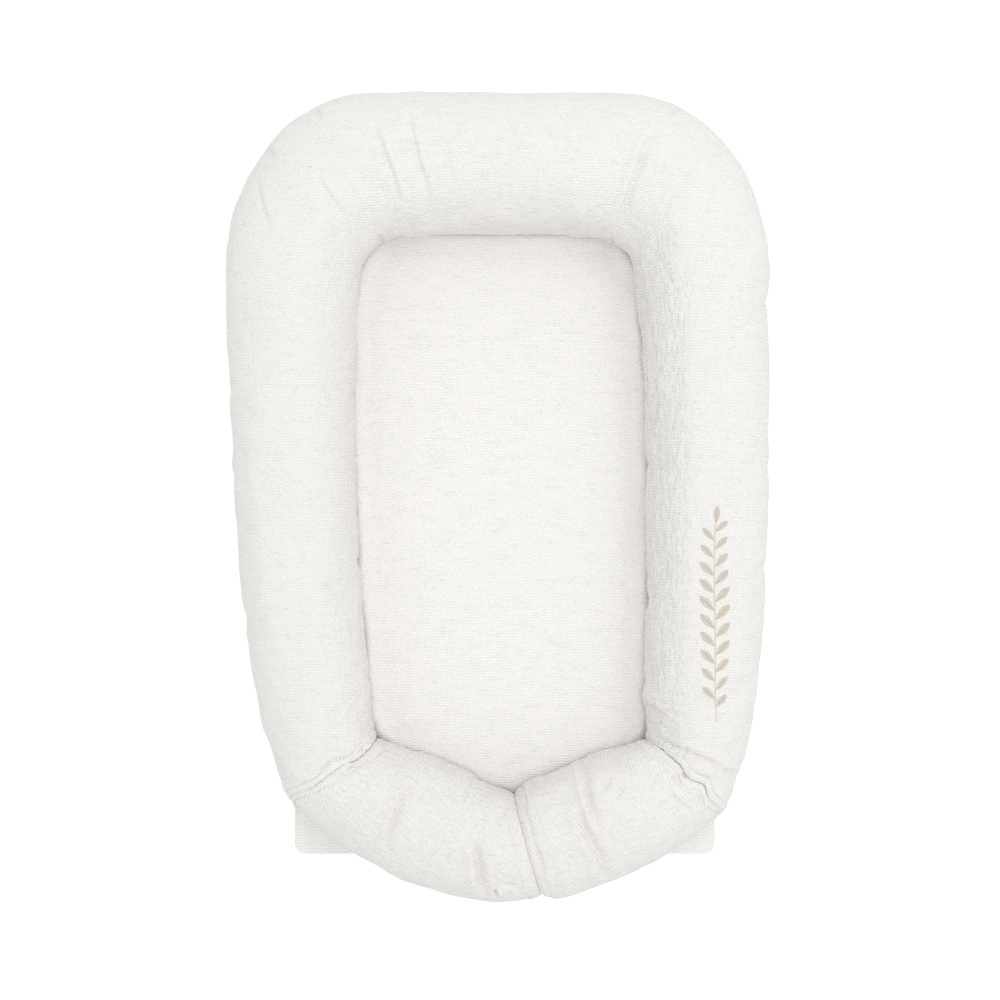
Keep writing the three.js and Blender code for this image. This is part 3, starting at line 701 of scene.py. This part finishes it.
# Pleats and seams, in pixels of the square picture, which seen() places on the cloth. A pleat has its path,
# its depth and its half width.
BOLSTER_PLEATS = (
    ([(374, 122), (379, 138), (388, 162), (396, 184), (401, 204)], 2.8, 2.5),
    ([(408, 108), (414, 138), (420, 166), (427, 186), (428, 206)], 2.3, 2.5),
    ([(318, 178), (333, 200), (346, 218)], 2.4, 2.6),
    ([(255, 172), (262, 204), (271, 230)], 2.2, 2.8),
    ([(446, 142), (453, 190)], 1.2, 2.6),
    ([(616, 228), (630, 190), (640, 160), (652, 130)], 4.4, 3.0),
    ([(655, 222), (676, 190), (700, 160)], 1.8, 2.8),
    ([(660, 743), (686, 752), (710, 762), (726, 771), (744, 786)], 4.4, 2.6),
    ([(262, 140), (276, 158)], 2.4, 2.6),
    ([(312, 101), (322, 118)], 2.4, 2.6),
    ([(681, 98), (670, 116)], 2.4, 2.6),
    ([(730, 142), (714, 158)], 2.4, 2.6),
    ([(774, 342), (756, 336)], 2.0, 2.6),
    ([(362, 748), (361, 756)], 3.6, 1.7),
    ([(690, 748), (681, 762)], 1.8, 1.8),
)
LEFT_PLEATS = (
    ([(382, 850), (395, 813), (408, 784)], 4.6, 2.4),
    ([(484, 902), (479, 880), (477, 862), (474, 842)], 7.0, 3.4),
    ([(346, 776), (353, 762)], 3.0, 2.4),
    ([(445, 868), (443, 846)], 1.8, 2.6),
    ([(495, 892), (499, 901)], 6.0, 1.7),
    ([(520, 897), (513, 887), (500, 887)], 2.4, 2.0),
    ([(508, 812), (500, 828)], 1.6, 2.4),
    ([(293, 792), (297, 782), (303, 773)], 3.4, 1.8),
)
RIGHT_PLEATS = (
    ([(600, 832), (590, 806), (585, 786), (583, 764)], 6.5, 3.0),
    ([(604, 884), (599, 858), (588, 840), (581, 824), (578, 802)], 7.0, 3.6),
    ([(678, 772), (679, 788)], 3.0, 2.0),
    ([(668, 790), (680, 804), (692, 811)], 3.0, 2.4),
    ([(683, 772), (687, 778)], 3.0, 1.5),
    ([(700, 796), (704, 812)], 2.4, 2.4),
    ([(612, 778), (603, 794)], 1.8, 2.4),
    ([(626, 784), (616, 800)], 1.4, 2.4),
)
RIGHT_SEAM = ((651, 747), (663, 757), (675, 767), (688, 778))
LEFT_SEAM = ((345, 756), (331, 763), (320, 770))


# The bolster

rings, cloth, lay = stuffed_tube(
    bolster_route(), (LEFT_ACROSS, CREASE_LIP), (RIGHT_ACROSS, CREASE_LIP), 1, ARM_HALF_WIDTH,
    BOLSTER_HEIGHT, BOLSTER_SEAT, ARM_WIDTHS, ARM_HEIGHTS, True, ARM_STATION)
bolster = rolled_sheet("bolster", rings, cloth, lay, CREASE_DISH, CREASE_DISH)


def seen(x, y, height):
    """The plan place, at a height, of a point that the camera sees at a pixel of the square picture."""
    spread = (CAMERA_HEIGHT - height) / (CAMERA_HEIGHT - WIDEST_HEIGHT)
    return tuple(VIEW_CENTRE + np.array([x - PICTURE_CENTRE, PICTURE_CENTRE - y]) * spread)


def strokes_at(height, drawn):
    """Pleats with their paths in plan, at a height."""
    return [([seen(x, y, height) for x, y in path], depth, half) for path, depth, half in drawn]


def rounded_corner(piece, side, centre, radius):
    """Fills an inner corner of the head out to an arc, and fades that out towards the crest and the mat."""
    first, last, step, fade = -12, 112, 2.5, 20
    points = points_of(piece.data) / MM
    offset = points[:, :2] - centre
    distance = np.hypot(offset[:, 0], offset[:, 1])
    angle = np.degrees(np.arctan2(offset[:, 1], offset[:, 0] * side))
    within = (angle > first) & (angle < last) & (distance < 170)
    wide = within & (points[:, 2] > 45)
    marks = np.arange(first, last + 1, step)
    nearest = np.array([distance[wide & (np.abs(angle - mark) < step)].min() for mark in marks])
    edge = np.interp(angle, marks, nearest)
    push = np.maximum(edge - radius, 0) * smoothstep(angle, first, first + fade)
    push *= 1 - smoothstep(angle, last - fade, last)
    push *= within * (1 - smoothstep(distance - edge, 0, 58)) * smoothstep(points[:, 2], 26, 54)
    points[:, :2] -= offset / distance[:, None] * push[:, None]
    move_to(piece.data, points * MM)


def held_parts(piece, seat, *creases):
    """Which points the filling can't move: the sewn underside, and the lips of the creases."""
    points = points_of(piece.data)
    held = (points[:, 2] / MM < seat + 1).astype(float)
    for crease in creases:
        u, d = crease_frame(points, crease)[:2]
        held = np.maximum(held, (np.abs(u) < CREASE_REACH) * (1 - smoothstep(np.abs(d), 3, 9)))
    return held


for place in (LEFT_CUSP, RIGHT_CUSP):
    softened(bolster, place, 62, 40)
rounded_corner(bolster, -1, *LEFT_CORNER)
rounded_corner(bolster, 1, *RIGHT_CORNER)
for place in (LEFT_CUSP, RIGHT_CUSP):
    softened(bolster, place, 50, 12)
stuffed(bolster, held_parts(bolster, BOLSTER_SEAT, LEFT, RIGHT))
refined(bolster)
for amount, size in ((0.7, 16), (1.6, 44)):
    crinkled(bolster, amount, size, lambda p, n: clear_of_creases(p, LEFT, RIGHT))


def inner_side(lay):
    """The side that faces the pad, strongest along the right arm."""
    band = smoothstep(lay[:, 0], 12, 40) * (1 - smoothstep(lay[:, 0], 95, 125))
    arm = 0.35 + 0.65 * smoothstep(lay[:, 2], 0.6, 0.68)
    return band * arm


furrowed(bolster, 1.1, 11, 30, inner_side, 2.0)
furrowed(bolster, 0.8, 17, 60, inner_side, 9.0)
bowed(bolster, BOLSTER_SEAT, LEFT_BOW, LEFT_FILL, LEFT)
bowed(bolster, BOLSTER_SEAT, RIGHT_BOW, RIGHT_FILL, RIGHT)
puckered(bolster, lambda lay: (0.2 + 0.25 * smoothstep(-lay[:, 0], 40, 80) + 0.6 * inner_side(lay) +
                               0.2 * smoothstep(lay[:, 2], 0.58, 0.7)))
pleated(bolster, strokes_at(BOLSTER_CREST, BOLSTER_PLEATS))
dressed(bolster, bolster_cotton, "lounger", "crinkle_cotton",
        "bolster_cover", "bolster_filling", "left_arm_closing_sheet", "right_arm_closing_sheet")


# The folded ends

def folded_end(name, crease, reach_share, sag, rib_way, bow, fill, pleats):
    """One end of the tube, from its crease to the tip. Its cloth is cut with the ribs at an angle."""
    place, across, side = crease
    rings, cloth, lay = stuffed_tube(
        end_route(place, reach_share, sag), (across, CREASE_LIP), (TIP_ACROSS, TIP_LIP), side,
        END_HALF_WIDTH, END_HEIGHT, END_SEAT, END_WIDTHS, END_HEIGHTS, False, END_STATION)
    turned = cloth @ np.array([
        [math.cos(rib_way), -math.sin(rib_way), 0], [math.sin(rib_way), math.cos(rib_way), 0], [0, 0, 1]])
    piece = rolled_sheet(name, rings, turned, lay, CREASE_DISH, TIP_DISH)
    stuffed(piece, held_parts(piece, END_SEAT, crease, TIP_SEAM))
    refined(piece)
    for amount, size in ((0.7, 15), (2.2, 36)):
        crinkled(piece, amount, size, lambda p, n: clear_of_creases(p, crease, TIP_SEAM), 4.0 + side)
    bowed(piece, END_SEAT, bow, fill, crease)
    puckered(piece, lambda lay: 0.65 + 0.2 * smoothstep(np.abs(lay[:, 0]), 40, 75))
    pleated(piece, strokes_at(END_CREST, pleats))
    return piece


left_end = folded_end(
    "left_folded_end", LEFT, 0.56, 31, LEFT_RIBS, LEFT_BOW, LEFT_FILL, LEFT_PLEATS)
dressed(left_end, bolster_cotton, "left_folded_end", "crinkle_cotton",
        "left_end_cover", "left_end_filling", "left_end_closing_sheet")

right_end = folded_end(
    "right_folded_end", RIGHT, 0.5, 12, RIGHT_RIBS, RIGHT_BOW, RIGHT_FILL, RIGHT_PLEATS)
dressed(right_end, bolster_cotton, "right_folded_end", "crinkle_cotton",
        "right_end_cover", "right_end_filling", "right_end_closing_sheet")


# Crease sleeves: the cloth folded away inside each crease

FOLDS = 15
FOLD_SPREAD, FOLD_TUCK, FOLD_CLOTH = 1.4, 3.4, 7.0
LIP_GAP, SPREAD_TUCK = 0.7, 1.3


def crease_sleeve(side, joint, bow, fill, nodes):
    """Small folds side by side, which lie within the valley between both lips."""
    crease, across, turn = joint
    away = turn * np.array([across[1], -across[0]])
    half_width, tall, seat = ARM_HALF_WIDTH * ARM_WIDTHS[0][1], END_HEIGHT * END_HEIGHTS[0][1], BOLSTER_SEAT
    half_height = tall / (1 + SEAT_SHARE)
    mid_height = seat + tall - half_height
    angle = np.linspace(0, 2 * math.pi, SIDES + 1)
    x, z = section(angle)
    unrolled = np.where(angle <= math.pi, angle, angle - 2 * math.pi) * half_width
    rings, cloth = [], []
    for fold in range(FOLDS):
        depth = FOLD_SPREAD * (1 - 2 * fold / (FOLDS - 1))
        tuck = CREASE_LIP[1] + LIP_GAP + SPREAD_TUCK * abs(depth) + (FOLD_TUCK if fold % 2 else 0)
        plan = crease + away * depth + np.outer(x * (half_width - tuck), across)
        height = np.maximum(mid_height + z * (half_height - tuck), seat + 1)
        rings.append(np.column_stack([plan, height]))
        cloth.append(np.column_stack([unrolled, np.full(SIDES + 1, fold * FOLD_CLOTH), 0 * angle]))
    rings, cloth = np.array(rings), np.array(cloth)
    piece = rolled_sheet(f"{side}_crease_sleeve", rings, cloth, cloth, 0.1, 0.1)
    dressed(piece, bolster_cotton, None, "crinkle_cotton", *nodes)
    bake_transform(piece)
    # All the folds follow the seam's bow alike.
    bowed(piece, BOLSTER_SEAT, bow, fill, joint)


crease_sleeve("left", LEFT, LEFT_BOW, LEFT_FILL, ["left_crease_web"])
crease_sleeve("right", RIGHT, RIGHT_BOW, RIGHT_FILL, ["right_crease_web"])


# Threads: each stitch is a slim rounded strand laid on the cloth

STITCH_BATCH = 60


def tree_of(piece):
    points = [vertex.co for vertex in piece.data.vertices]
    faces = [polygon.vertices for polygon in piece.data.polygons]
    return BVHTree.FromPolygons(points, faces)


def surface_of(*pieces):
    """Looks down on pieces from above and gives the height in millimetres at a place in plan."""
    trees = [tree_of(piece) for piece in pieces]

    def height(x, y):
        hits = [tree.ray_cast(Vector((x * MM, y * MM, 1)), Vector((0, 0, -1)))[0] for tree in trees]
        return max([hit.z / MM for hit in hits if hit is not None], default=0.0)

    return height


def strand(form, start, end, radius):
    """One stitch between two points, in millimetres."""
    start, end = Vector(start), Vector(end)
    way = end - start
    turn = way.to_track_quat("Z", "Y")
    scale = Vector((radius, radius * 0.75, way.length / 2 + radius * 0.5)) * MM
    place = Matrix.LocRotScale((start + end) / 2 * MM, turn, scale)
    bmesh.ops.create_uvsphere(form, u_segments=6, v_segments=4, radius=1, matrix=place)


def sewn(name, stitches, radius, material, height, lift):
    """Stitches laid on the cloth, each given as two places in plan. They are made in batches, for speed."""
    meshes = []
    for first in range(0, len(stitches), STITCH_BATCH):
        form = bmesh.new()
        for (x1, y1), (x2, y2) in stitches[first:first + STITCH_BATCH]:
            top = max(height(x1, y1), height(x2, y2), height((x1 + x2) / 2, (y1 + y2) / 2))
            low1, low2 = max(height(x1, y1), top - 1.5), max(height(x2, y2), top - 1.5)
            strand(form, (x1, y1, low1 + lift), (x2, y2, low2 + lift), radius)
        mesh = bpy.data.meshes.new("part")
        form.to_mesh(mesh)
        form.free()
        meshes.append(mesh)
    whole = bmesh.new()
    for mesh in meshes:
        whole.from_mesh(mesh)
        bpy.data.meshes.remove(mesh)
    dressed(as_object(name, whole), material, "lounger", "crinkle_cotton")


def ladder(path, pitch, reach, slant):
    """Stitches across a seam, from the cloth on one side to the cloth on the other."""
    path = np.array(path, float)
    run = distances(path)
    stitches = []
    for at in np.arange(pitch / 2, run[-1], pitch):
        here, ahead = point_at(path, run, at), point_at(path, run, at + 0.5)
        way = (ahead - here) / max(np.linalg.norm(ahead - here), 1e-6)
        side = left_of(way)
        half = side * reach + way * slant
        stitches.append((tuple(here - half), tuple(here + half)))
    return stitches


# The sprig is a slender stem with paired leaves in satin stitch, on the crest of the right arm.
STEM = [(205, -208), (199, -160), (207, -108), (198, -58), (203, -14)]
STEM_STEP, STEM_STITCH = 1.1, 2.4
LEAF_LENGTH, LEAF_WIDTH, LEAF_SPACING, THREAD = 19, 3.6, 17, 0.34


def leaf(base, way, length, width):
    """Satin stitches of a leaf: two rows that slant forwards from the vein."""
    side = left_of(way)
    stitches = []
    count = int(length / (THREAD * 1.7))
    for index in range(count):
        share = (index + 0.5) / count
        reach = width * math.sin(math.pi * share ** 0.8) ** 0.9
        vein = base + way * length * share
        for turn in (-1, 1):
            tip = vein + side * turn * reach + way * reach * 0.75
            stitches.append((tuple(vein + side * turn * 0.12), tuple(tip)))
    return stitches


def sprig():
    stem = bezier(*STEM)
    run = distances(stem)

    def place(at):
        return point_at(stem, run, at)

    stitches = []
    for at in np.arange(0, run[-1] - 2, STEM_STEP):
        here, ahead = place(at), place(at + STEM_STITCH)
        way = (ahead - here) / np.linalg.norm(ahead - here)
        side = left_of(way)
        stitches.append((tuple(here - side * 0.3), tuple(ahead + side * 0.3)))
    for index, at in enumerate(np.arange(14, run[-1] - 10, LEAF_SPACING / 2)):
        way = place(at + 2) - place(at)
        way /= np.linalg.norm(way)
        turn = math.radians(44) * (1 if index % 2 else -1)
        out = np.array([way[0] * math.cos(turn) - way[1] * math.sin(turn),
                        way[0] * math.sin(turn) + way[1] * math.cos(turn)])
        size = 0.72 + 0.28 * math.sin(math.pi * at / run[-1])
        base = place(at) + out * 1.6
        stitches.append((tuple(place(at)), tuple(base + out * 0.8)))
        stitches += leaf(base, out, LEAF_LENGTH * size, LEAF_WIDTH * size)
    stitches += leaf(place(run[-1] - 1), np.array([0.1, 0.995]), LEAF_LENGTH * 0.85, LEAF_WIDTH * 0.85)
    return stitches


sewn("embroidered_sprig", sprig(), THREAD, satin_thread, surface_of(bolster), 0.22)

right_seam = [seen(x, y, SEAM_CREST) for x, y in RIGHT_SEAM]
left_seam = [seen(x, y, SEAM_CREST) for x, y in LEFT_SEAM]
seam_height = surface_of(bolster, left_end, right_end)
sewn("right_crease_stitches", ladder(right_seam, 2.7, 1.5, 0.4), 0.42, sewing_thread, seam_height, -0.1)
sewn("left_crease_stitches", ladder(left_seam, 3.4, 1.5, 0.5), 0.38, sewing_thread, seam_height, -0.1)


# The mat

TOP_INSET = 3.2
LEFT_PIVOT, RIGHT_PIVOT = (-209.1, -294.7), (216.7, -301.4)
SWING_STEPS = range(6, 61, 6)
SWING_REACH = -200
CLEARANCE, SWING_CLEARANCE = 0.5, 0.9
ZIP_REACH, ZIP_LOW, ZIP_HIGH, ZIP_POCKET = 142.6, 4.0, 12.0, 5.2


def mat_reach(angle, inset):
    """How far the mat's outline is from its middle in each direction, when it is drawn in by an inset."""
    half_width, half_length = MAT_WIDTH / 2 - inset, MAT_LENGTH / 2 - inset
    head, foot = HEAD_CORNER - inset, FOOT_CORNER - inset
    corners = [(half_width - foot, foot - half_length, foot, -90),
               (half_width - head, half_length - head, head, 0),
               (head - half_width, half_length - head, head, 90),
               (foot - half_width, foot - half_length, foot, 180)]
    points = []
    for x, y, radius, start in corners:
        turn = np.radians(start + np.linspace(0, 90, 60))
        points.append(np.stack([x + radius * np.cos(turn), y + radius * np.sin(turn)], 1))
    points = np.vstack(points + [points[0][:1]])
    dense = np.vstack([a + (b - a) * np.linspace(0, 1, 60)[:, None] for a, b in zip(points, points[1:])])
    turns = np.arctan2(dense[:, 1], dense[:, 0])
    order = np.argsort(turns)
    return np.interp(angle, turns[order], np.hypot(dense[:, 0], dense[:, 1])[order], period=2 * math.pi)


def mat_plan(u, v):
    """Places on the mat for shares from -1 to 1 across and along it: even in the middle, round at the
    corners."""
    half_width, half_length = MAT_WIDTH / 2 - TOP_INSET, MAT_LENGTH / 2 - TOP_INSET
    share = np.maximum(np.maximum(np.abs(u), np.abs(v)), 1e-6)
    x, y = u * half_width, v * half_length
    rim = np.maximum(np.hypot(x, y) / share, 1)
    keep = mat_reach(np.arctan2(y, x), TOP_INSET) / rim
    scale = 1 + (keep - 1) * share ** 5
    return x * scale, y * scale


def outwards(x, y):
    """The direction square to the mat's outline."""
    radius = HEAD_CORNER if y > 0 else FOOT_CORNER
    core_x, core_y = MAT_WIDTH / 2 - radius, MAT_LENGTH / 2 - radius
    way = Vector((x - max(-core_x, min(core_x, x)), y - max(-core_y, min(core_y, y)), 0))
    return way.normalized()


def middle_rise(x, y):
    """How high the fuller middle of the mat stands above its flat border, which the bolster covers."""
    half_width, half_length = (MIDDLE_RIGHT - MIDDLE_LEFT) / 2, (MIDDLE_HEAD - MIDDLE_FOOT) / 2
    from_x, from_y = x - (MIDDLE_RIGHT + MIDDLE_LEFT) / 2, y - (MIDDLE_HEAD + MIDDLE_FOOT) / 2
    inner_x = np.maximum(np.abs(from_x) - (half_width - MIDDLE_CORNER), 0)
    inner_y = np.maximum(np.abs(from_y) - (half_length - MIDDLE_CORNER), 0)
    share = np.clip(1 - np.hypot(inner_x, inner_y) / MIDDLE_CORNER, 0, 1)
    return MIDDLE_RISE * (1 - (1 - share) ** 6)


def wall_steps(rounding, zip_edge, way):
    """The steps of the mat's wall from its rolled edge to the seam, down for a way of -1 and up for 1. Each
    step has its height, its inset from the mat's outline, and its inset along the zip."""
    steps = [(height, inset, inset) for height, inset in rounding]
    steps += [(zip_edge, 0, 0.1), (zip_edge + way * 0.5, 0, ZIP_POCKET)]
    for gap, inset in ((1.2, 0.3), (0.35, 1.1), (0.15, 2.4)):
        steps.append((SEAM_HEIGHT - way * gap, inset, ZIP_POCKET))
    return steps + [(SEAM_HEIGHT - way * 0.15, 9, 9)]


def mat_half(name, spacing, face_height, rise, wall):
    """Half of the mat's shell: a broad face, and a wall down or up to the seam."""
    form = bmesh.new()
    columns, rows = round(MAT_WIDTH / spacing), round(MAT_LENGTH / spacing)
    bmesh.ops.create_grid(form, x_segments=columns, y_segments=rows, size=1)
    u, v = np.array([vertex.co[:2] for vertex in form.verts]).T
    x, y = mat_plan(u, v)
    z = face_height + (middle_rise(x, y) if rise else 0 * x)
    for vertex, place in zip(form.verts, zip(x, y, z)):
        vertex.co = Vector(place) * MM
    rim = [edge for edge in form.edges if edge.is_boundary]
    if rise:
        # The pressed line beside the rolled edge
        for vertex in {vertex for edge in rim for vertex in edge.verts}:
            vertex.co.z -= 1.1 * MM
    inset_now = {}
    for height, inset, zip_inset in wall:
        grown = bmesh.ops.extrude_edge_only(form, edges=rim)["geom"]
        rim = [item for item in grown if isinstance(item, bmesh.types.BMEdge) and item.is_boundary]
        placed = {}
        for vertex in {vertex for edge in rim for vertex in edge.verts}:
            here = vertex.co / MM
            in_zip = here.y < -MAT_LENGTH / 2 + 20 and abs(here.x) < ZIP_REACH
            target = zip_inset if in_zip else inset
            before = inset_now.get((round(here.x, 2), round(here.y, 2)), TOP_INSET)
            side = outwards(here.x, here.y)
            there = here + side * (before - target)
            there.z = height
            vertex.co = there * MM
            placed[(round(there.x, 2), round(there.y, 2))] = target
        inset_now = placed
    return as_object(name, form)


def pressed_under(piece, bolster, ends):
    """Keeps the mat's top just under what rests on it, and lets it climb a little beside the bolster. Each
    end comes with its pivot and its side, and the mat keeps clear of it through its whole swing."""
    trees = [tree_of(cover) for cover in (bolster, *[end[0] for end in ends])]
    places = ((0, 0, 0), (1.3, 0, 0), (-1.3, 0, 0), (0, 1.3, 0), (0, -1.3, 0))
    offsets = [Vector(place) * MM for place in places]
    turned_back = []
    for tree, (_, pivot, side) in zip(trees[1:], ends):
        centre = Matrix.Translation(Vector((*pivot, 0)) * MM)
        for degrees in SWING_STEPS:
            turn = Matrix.Rotation(-side * math.radians(degrees), 4, "Z")
            turned_back.append((tree, centre @ turn @ centre.inverted()))
    points = points_of(piece.data)
    ceiling = np.full(len(points), 1.0)
    # Nothing rests on the middle of the mat.
    outer = (np.abs(points[:, 0]) > 0.1) | (np.abs(points[:, 1]) > 0.2)
    for index in np.flatnonzero(outer & (points[:, 2] > (MAT_EDGE - 2) * MM)):
        x, y, z = points[index]
        near = trees[0].find_nearest(Vector((x, y, z)))[3] / MM
        points[index, 2] += MIDDLE_CLIMB * (1 - smoothstep(near, 0, CLIMB_REACH)) * MM
        start = Vector((x, y, 10 * MM))
        looks = [(tree, start + offset, CLEARANCE) for offset in offsets for tree in trees]
        if y < SWING_REACH * MM:
            looks += [(tree, turn @ start, SWING_CLEARANCE) for tree, turn in turned_back]
        for tree, place, clearance in looks:
            hit = tree.ray_cast(place, Vector((0, 0, 1)))[0]
            if hit is not None:
                ceiling[index] = min(ceiling[index], hit.z - clearance * MM)
    pressed = points.copy()
    pressed[:, 2] = np.minimum(points[:, 2], ceiling)
    touched = np.repeat((pressed[:, 2] < points[:, 2]).astype(float)[:, None], 3, 1)
    covered = smoothstep(evened(piece, touched, 8)[:, 2], 0, 0.3)
    smooth = evened(piece, pressed, 10)[:, 2]
    pressed[:, 2] += (smooth - pressed[:, 2]) * covered * (pressed[:, 2] > MAT_EDGE * MM)
    pressed[:, 2] = np.minimum(pressed[:, 2], ceiling)
    move_to(piece.data, pressed)


def closed(piece):
    """Closes a piece's open rim, and turns its normals outwards."""
    form = bmesh.new()
    form.from_mesh(piece.data)
    bmesh.ops.holes_fill(form, edges=[edge for edge in form.edges if edge.is_boundary], sides=0)
    bmesh.ops.recalc_face_normals(form, faces=form.faces)
    form.to_mesh(piece.data)
    form.free()


top = mat_half("mat_top", 5.2, MAT_EDGE, True, wall_steps(
    ((MAT_EDGE - 0.2, 2.2), (MAT_EDGE - 0.7, 1.0), (MAT_EDGE - 2.2, 0.1)), ZIP_HIGH, -1))
base = mat_half("mat_base", 11, 0, False, wall_steps(((0.4, 1.8), (1.4, 0.6), (2.6, 0.1)), ZIP_LOW, 1))
closed(refined(top))
closed(base)
crinkled(top, 0.7, 18, lambda p, n: smoothstep(n[:, 2], 0.2, 0.8) * smoothstep(p[:, 2], 12, 17))
pressed_under(top, bolster, [(left_end, LEFT_PIVOT, -1), (right_end, RIGHT_PIVOT, 1)])
# The mat's top wears the lighter copy of the bolster's cotton, with painted light in its colour.
dressed(top, mat_cotton_painted_lighter, "lounger", "crinkle_cotton", "mat_upper_cover", "mat_filling")
dressed(base, lining, "lounger", "lining_cotton", "mat_lower_cover")


# The zip: interlocked nylon loops, and bevelled copies of the cast slider and pull

COIL = {"start": -140, "end": 134, "front": -359.9, "back": -358.4, "low": 5.9, "high": 10.1}
LOOP_PITCH = 1.3


def zip_loops():
    depth, middle = (COIL["front"] + COIL["back"]) / 2, (COIL["low"] + COIL["high"]) / 2
    thick, reach = (COIL["back"] - COIL["front"]) / 2, (COIL["high"] - COIL["low"]) / 2
    form = bmesh.new()
    places = np.arange(COIL["start"] + LOOP_PITCH / 2, COIL["end"], LOOP_PITCH)
    for index, x in enumerate(places):
        side = 1 if index % 2 else -1
        size = Vector((LOOP_PITCH * 0.56, thick, reach * 0.66)) * MM
        centre = Vector((x, depth, middle + side * reach * 0.34)) * MM
        bmesh.ops.create_uvsphere(form, u_segments=8, v_segments=6, radius=1,
                                  matrix=Matrix.LocRotScale(centre, None, size))
    return as_object("zip_loops", form)


loops = dressed(zip_loops(), coil_nylon, "lounger", "nylon_coil", "zip_coil")
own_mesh(loops)


def bevelled(name, node_name, width, body):
    """A copy of a solid with its edges eased, as casting and tumbling leave them."""
    form = bmesh.new()
    form.from_mesh(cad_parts[node_name].data)
    bmesh.ops.remove_doubles(form, verts=form.verts, dist=0.01 * MM)
    bmesh.ops.dissolve_limit(form, angle_limit=math.radians(2), verts=form.verts, edges=form.edges)
    inner = [edge for edge in form.edges if len(edge.link_faces) == 2]
    sharp = [edge for edge in inner if edge.calc_face_angle() > math.radians(35)]
    bmesh.ops.bevel(form, geom=sharp, offset=width * MM, offset_type="OFFSET", segments=3, profile=0.5,
                    affect="EDGES", material=-1, clamp_overlap=True)
    return dressed(as_object(name, form), zinc, body, "lacquered_zinc", node_name)


bevelled("slider_casting", "zip_slider", 0.55, "slider")
bevelled("pull_casting", "zip_pull", 0.3, "pull")


# Carried-over solids

for material, names in (
        (twill_tape, ("bolster_joining_tape", "zip_upper_tape", "zip_lower_tape")),
        (touch_tape, ("left_tip_loop_patch", "right_tip_hook_patch")),
        (coil_nylon, ("zip_bottom_stop", "zip_upper_top_stop", "zip_lower_top_stop"))):
    for name in names:
        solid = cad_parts[name]
        solid.data.materials.clear()
        solid.data.materials.append(material)


# Floor, light and camera

FLOOR_SIZE, FLOOR_DROP = 6, 0.3
SENSOR = 36
WHITE = (1, 1, 1, 1)


def seen_directly(tree):
    """One for rays that reach the camera straight or by a gloss, and nought for the light on the object."""
    ray = node(tree, "ShaderNodeLightPath").outputs
    return node(tree, "ShaderNodeMath", {
        0: ray["Is Camera Ray"], 1: ray["Is Glossy Ray"]}, operation="MAXIMUM").outputs["Value"]


def floor():
    form = bmesh.new()
    bmesh.ops.create_grid(form, x_segments=1, y_segments=1, size=FLOOR_SIZE)
    bmesh.ops.translate(form, verts=form.verts, vec=(0, 0, -FLOOR_DROP * MM))
    made = as_object("floor", form)
    material = bpy.data.materials.new("matt_white_paper")
    material.use_nodes = True
    tree = material.node_tree
    tree.nodes.remove(tree.nodes["Principled BSDF"])
    paper = node(tree, "ShaderNodeBsdfDiffuse", {"Color": linear("#F4F4F4")}).outputs[0]
    dark, glow = [node(tree, "ShaderNodeEmission", {"Color": WHITE, "Strength": strength}).outputs[0]
                  for strength in (0.0, 0.28)]
    shown = node(tree, "ShaderNodeMixShader", {0: seen_directly(tree), 1: dark, 2: glow}).outputs[0]
    total = node(tree, "ShaderNodeAddShader", {0: paper, 1: shown}).outputs[0]
    tree.links.new(total, tree.nodes["Material Output"].inputs["Surface"])
    made.data.materials.append(material)


def light(name, place, size, power):
    lamp = bpy.data.lights.new(name, "AREA")
    lamp.shape = "SQUARE"
    lamp.size = size
    lamp.energy = power
    made = linked(name, lamp)
    made.location = place
    made.rotation_euler = (-Vector(place)).to_track_quat("-Z", "Y").to_euler()


def sky(strength):
    world = bpy.data.worlds.new("studio")
    bpy.context.scene.world = world
    world.use_nodes = True
    tree = world.node_tree
    tree.nodes.clear()
    soft, full = [node(tree, "ShaderNodeBackground", {"Color": WHITE, "Strength": level}).outputs[0]
                  for level in (strength, 1.0)]
    mixed = node(tree, "ShaderNodeMixShader", {0: seen_directly(tree), 1: soft, 2: full}).outputs[0]
    out = node(tree, "ShaderNodeOutputWorld")
    tree.links.new(mixed, out.inputs["Surface"])


def camera():
    lens = bpy.data.cameras.new("above")
    lens.sensor_width = SENSOR
    lens.lens = SENSOR * (CAMERA_HEIGHT - WIDEST_HEIGHT) / 1000
    lens.clip_end = 20
    made = linked("above", lens)
    made.location = Vector((VIEW_CENTRE[0], VIEW_CENTRE[1], CAMERA_HEIGHT)) * MM
    bpy.context.scene.camera = made


floor()
sky(0.92)
light("key", (0.62, 0.36, 2.15), 1.8, 12.5)
camera()
bpy.context.scene.view_settings.view_transform = "Standard"
